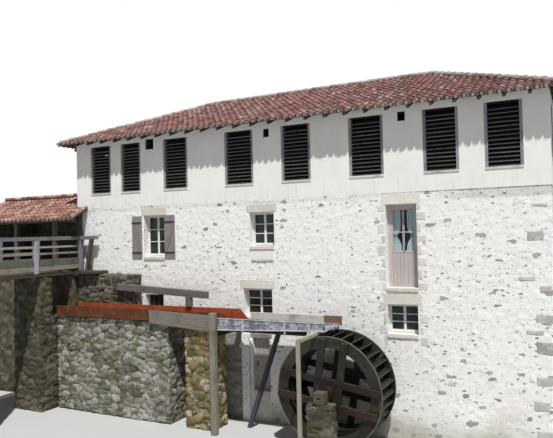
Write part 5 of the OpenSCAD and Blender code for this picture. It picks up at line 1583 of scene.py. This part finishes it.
def build_zinc_edges():
    """Rolled edges of the zinc sheet, along its top and under its skirt."""
    shape = merged("zinc_trough")
    near = [v.co for v in shape.verts if v.co.y < ZINC_LOW.y + 0.001]
    lowest = min(near, key=lambda c: c.z).copy()
    floor_z = min(c.z for c in near if c.x > ZINC_HIGH.x - 0.01)
    turn = min((c for c in near if abs(c.z - floor_z) < 0.001), key=lambda c: c.x).copy()
    shape.free()
    pile = Pile()
    radius = 0.013
    y = ZINC_LOW.y - 0.004
    top = ZINC_HIGH.z - 0.008
    pile.rod((ZINC_LOW.x, y, top), (ZINC_HIGH.x, y, top), radius, 8)
    bend = (turn.x, y, turn.z + 0.012)
    pile.rod((lowest.x, y, lowest.z + 0.012), bend, radius * 1.3, 8)
    pile.rod(bend, (ZINC_HIGH.x, y, turn.z + 0.012), radius * 1.3, 8)
    pile.piece("zinc_edges", [PALE_ZINC], "mill", "zinc")


def build_flume():
    """Masonry, troughs, boards, bearers and props of the flume, and the beam over it."""
    bare_masonry("flume_abutment_stones", "flume_abutment", ABUTMENT, 0.045)
    bare_masonry("race_wall_stones", "race_walls", MOSSY_MASONRY, 0.05)
    bare_masonry("wheel_pier_stones", "wheel_pier", MOSSY_MASONRY, 0.05)
    worn_copy("rusty_trough", "steel_trough", [RUST], "mill", 0.002)
    worn_copy("zinc_channel", "zinc_trough", [ZINC], "mill", 0.003)
    build_zinc_edges()
    timber("side_boards", "trough_boards", [MOTTLED_X, PALE_X], 0.006, 0.002,
           lambda middle: 0 if middle.y < FRONT_Y - 1 else 1)
    dress("trough_straps", PALE_ZINC)
    timber("bearers", "flume_bearers", [SHADE_X, STRAW_Y], pick=lambda middle: 1 if middle.x > 2 else 0)
    timber("flume_props", "flume_posts", [STRAW_Z, BLUE_SHADE_Z, DARK_STRAW_Z],
           pick=lambda middle: 1 if -0.6 < middle.x < 1 else (2 if middle.x < 0 else 0))
    timber("gate_beam", "sluice_beam", [DARK_GREY_X])
    dress("iron_rods", IRON)


def railing_side(pile, left, near, far, base, rail_z):
    """One side of the railing: three posts, two slats and two boards below."""
    middle = left + RAIL_POST / 2
    for number in range(3):
        start = near + number * (far - near - RAIL_POST) / 2
        pile.block((left, start, base), (left + RAIL_POST, start + RAIL_POST, rail_z),
                   0.012, None, 0, None, 0.004)
    for low, high, paint in ((0.645, 0.715, 2), (0.875, 0.945, 2), (0.085, 0.245, 3), (0.25, 0.485, 4)):
        pile.block((middle - 0.02, near, base + low), (middle + 0.02, far, base + high),
                   0.006, None, paint, None, 0.003)


def build_railing():
    """The railing of the walk, with its turned rail and leaning post."""
    (left_low, left_high), (low, high) = boxes("sluice_railing")
    cap = 0.035
    rail_z = high.z - 0.13
    pile = Pile()
    runs = [((left_low.x, left_low.y), (left_low.x + RAIL_POST, left_high.y)),
            ((low.x, low.y), (low.x + RAIL_POST, high.y)),
            ((low.x, high.y - RAIL_POST), (high.x, high.y))]
    for start, end in runs:
        pile.block((*start, rail_z), (*end, high.z - cap), 0.010, 0.0, 1, None, 0.003)
        pile.block((*start, high.z - cap), (*end, high.z), 0.010, None, 5, None, 0.002)
    railing_side(pile, left_low.x, left_low.y, left_high.y, low.z, rail_z)
    railing_side(pile, low.x, low.y, high.y, low.z, rail_z)
    lean = (Matrix.Translation((high.x - 0.56, high.y - RAIL_POST, low.z))
            @ Matrix.Rotation(math.radians(12), 4, "Y"))
    pile.block((0, 0, 0), (0.13, 0.13, 1.19), 0.010, None, 6, lean, 0.004)
    materials = [LILAC_Z, LILAC_Y, SLAT_Y, BEIGE_Y, GREEN_Y, PALE_CAP, BROWN_Z]
    pile.piece("railing", materials, "mill", "grey_wood", ["sluice_railing"])


def build_sluice():
    """Planks and railing of the walk, and the shed's masonry and frame."""
    timber("deck_planks", "sluice_deck", [BROWN_X], 0.01, 0.0)
    build_railing()
    bare_masonry("shed_wall_stones", "shed_walls", SHED_MASONRY, 0.08)
    bare_masonry("shed_bank_stones", "shed_floor", MOSSY_MASONRY, 0.08)
    timber("shed_frame", "shed_posts", [BROWN_Z])


# Stage


def build_stage():
    """A wide pale floor just below the mill."""
    shape = bmesh.new()
    bmesh.ops.create_grid(shape, x_segments=1, y_segments=1, size=150)
    floor = place_object("floor", mesh_of(shape, "floor"))
    floor.location.z = -0.002
    floor.data.materials.append(Paint("floor_paint").finish(FLOOR_COLOUR, 0.95, None, 0.0, 0.1))


def build_sky():
    """Soft light all round, white where the camera or a reflection sees it."""
    world = bpy.data.worlds.new("sky")
    bpy.context.scene.world = world
    world.use_nodes = True
    tree = world.node_tree
    tree.nodes.clear()
    path = tree.nodes.new("ShaderNodeLightPath")
    seen = path.outputs["Is Camera Ray"]
    for output in ("Is Glossy Ray", "Is Transmission Ray"):
        either = tree.nodes.new("ShaderNodeMath")
        either.operation = "MAXIMUM"
        tree.links.new(seen, either.inputs[0])
        tree.links.new(path.outputs[output], either.inputs[1])
        seen = either.outputs["Value"]
    mix = tree.nodes.new("ShaderNodeMixShader")
    tree.links.new(seen, mix.inputs["Fac"])
    for number, (colour, strength) in enumerate((SOFT_LIGHT, WHITE_LIGHT), 1):
        light = tree.nodes.new("ShaderNodeBackground")
        light.inputs["Color"].default_value = (*colour, 1)
        light.inputs["Strength"].default_value = strength
        tree.links.new(light.outputs["Background"], mix.inputs[number])
    out = tree.nodes.new("ShaderNodeOutputWorld")
    tree.links.new(mix.outputs["Shader"], out.inputs["Surface"])


def build_lamp():
    """The sun, from the front right and high."""
    lamp = bpy.data.lights.new("key", "SUN")
    lamp.energy = SUN_STRENGTH
    lamp.angle = SUN_WIDTH
    lamp.color = SUN_COLOUR
    key = place_object("key", lamp)
    source = Vector((math.sin(SUN_BEARING) * math.cos(SUN_RISE), -math.cos(SUN_BEARING) * math.cos(SUN_RISE),
                     math.sin(SUN_RISE)))
    key.rotation_euler = source.to_track_quat("Z", "Y").to_euler()


def build_camera():
    """The camera, where the photograph was taken from."""
    data = bpy.data.cameras.new("camera")
    data.sensor_fit = "HORIZONTAL"
    data.sensor_width = SENSOR
    data.lens = SENSOR * FOCAL_PIXELS / PICTURE_PIXELS
    data.clip_end = 500
    camera = place_object("camera", data)
    turn = Matrix()
    for degrees, axis in CAMERA_TURNS:
        turn = turn @ Matrix.Rotation(math.radians(degrees), 4, axis)
    camera.matrix_world = Matrix.Translation(CAMERA_PLACE) @ turn
    bpy.context.scene.camera = camera


build_walls()
build_dressed_stone()
build_stonework()
build_main_roof()
build_shed_roof()
build_louvres()
build_windows()
build_upper_door()
build_shutters()
build_ground_door()
build_wheel()
build_flume()
build_sluice()
build_stage()
build_sky()
build_lamp()
build_camera()
bpy.context.scene.view_settings.view_transform = "Standard"
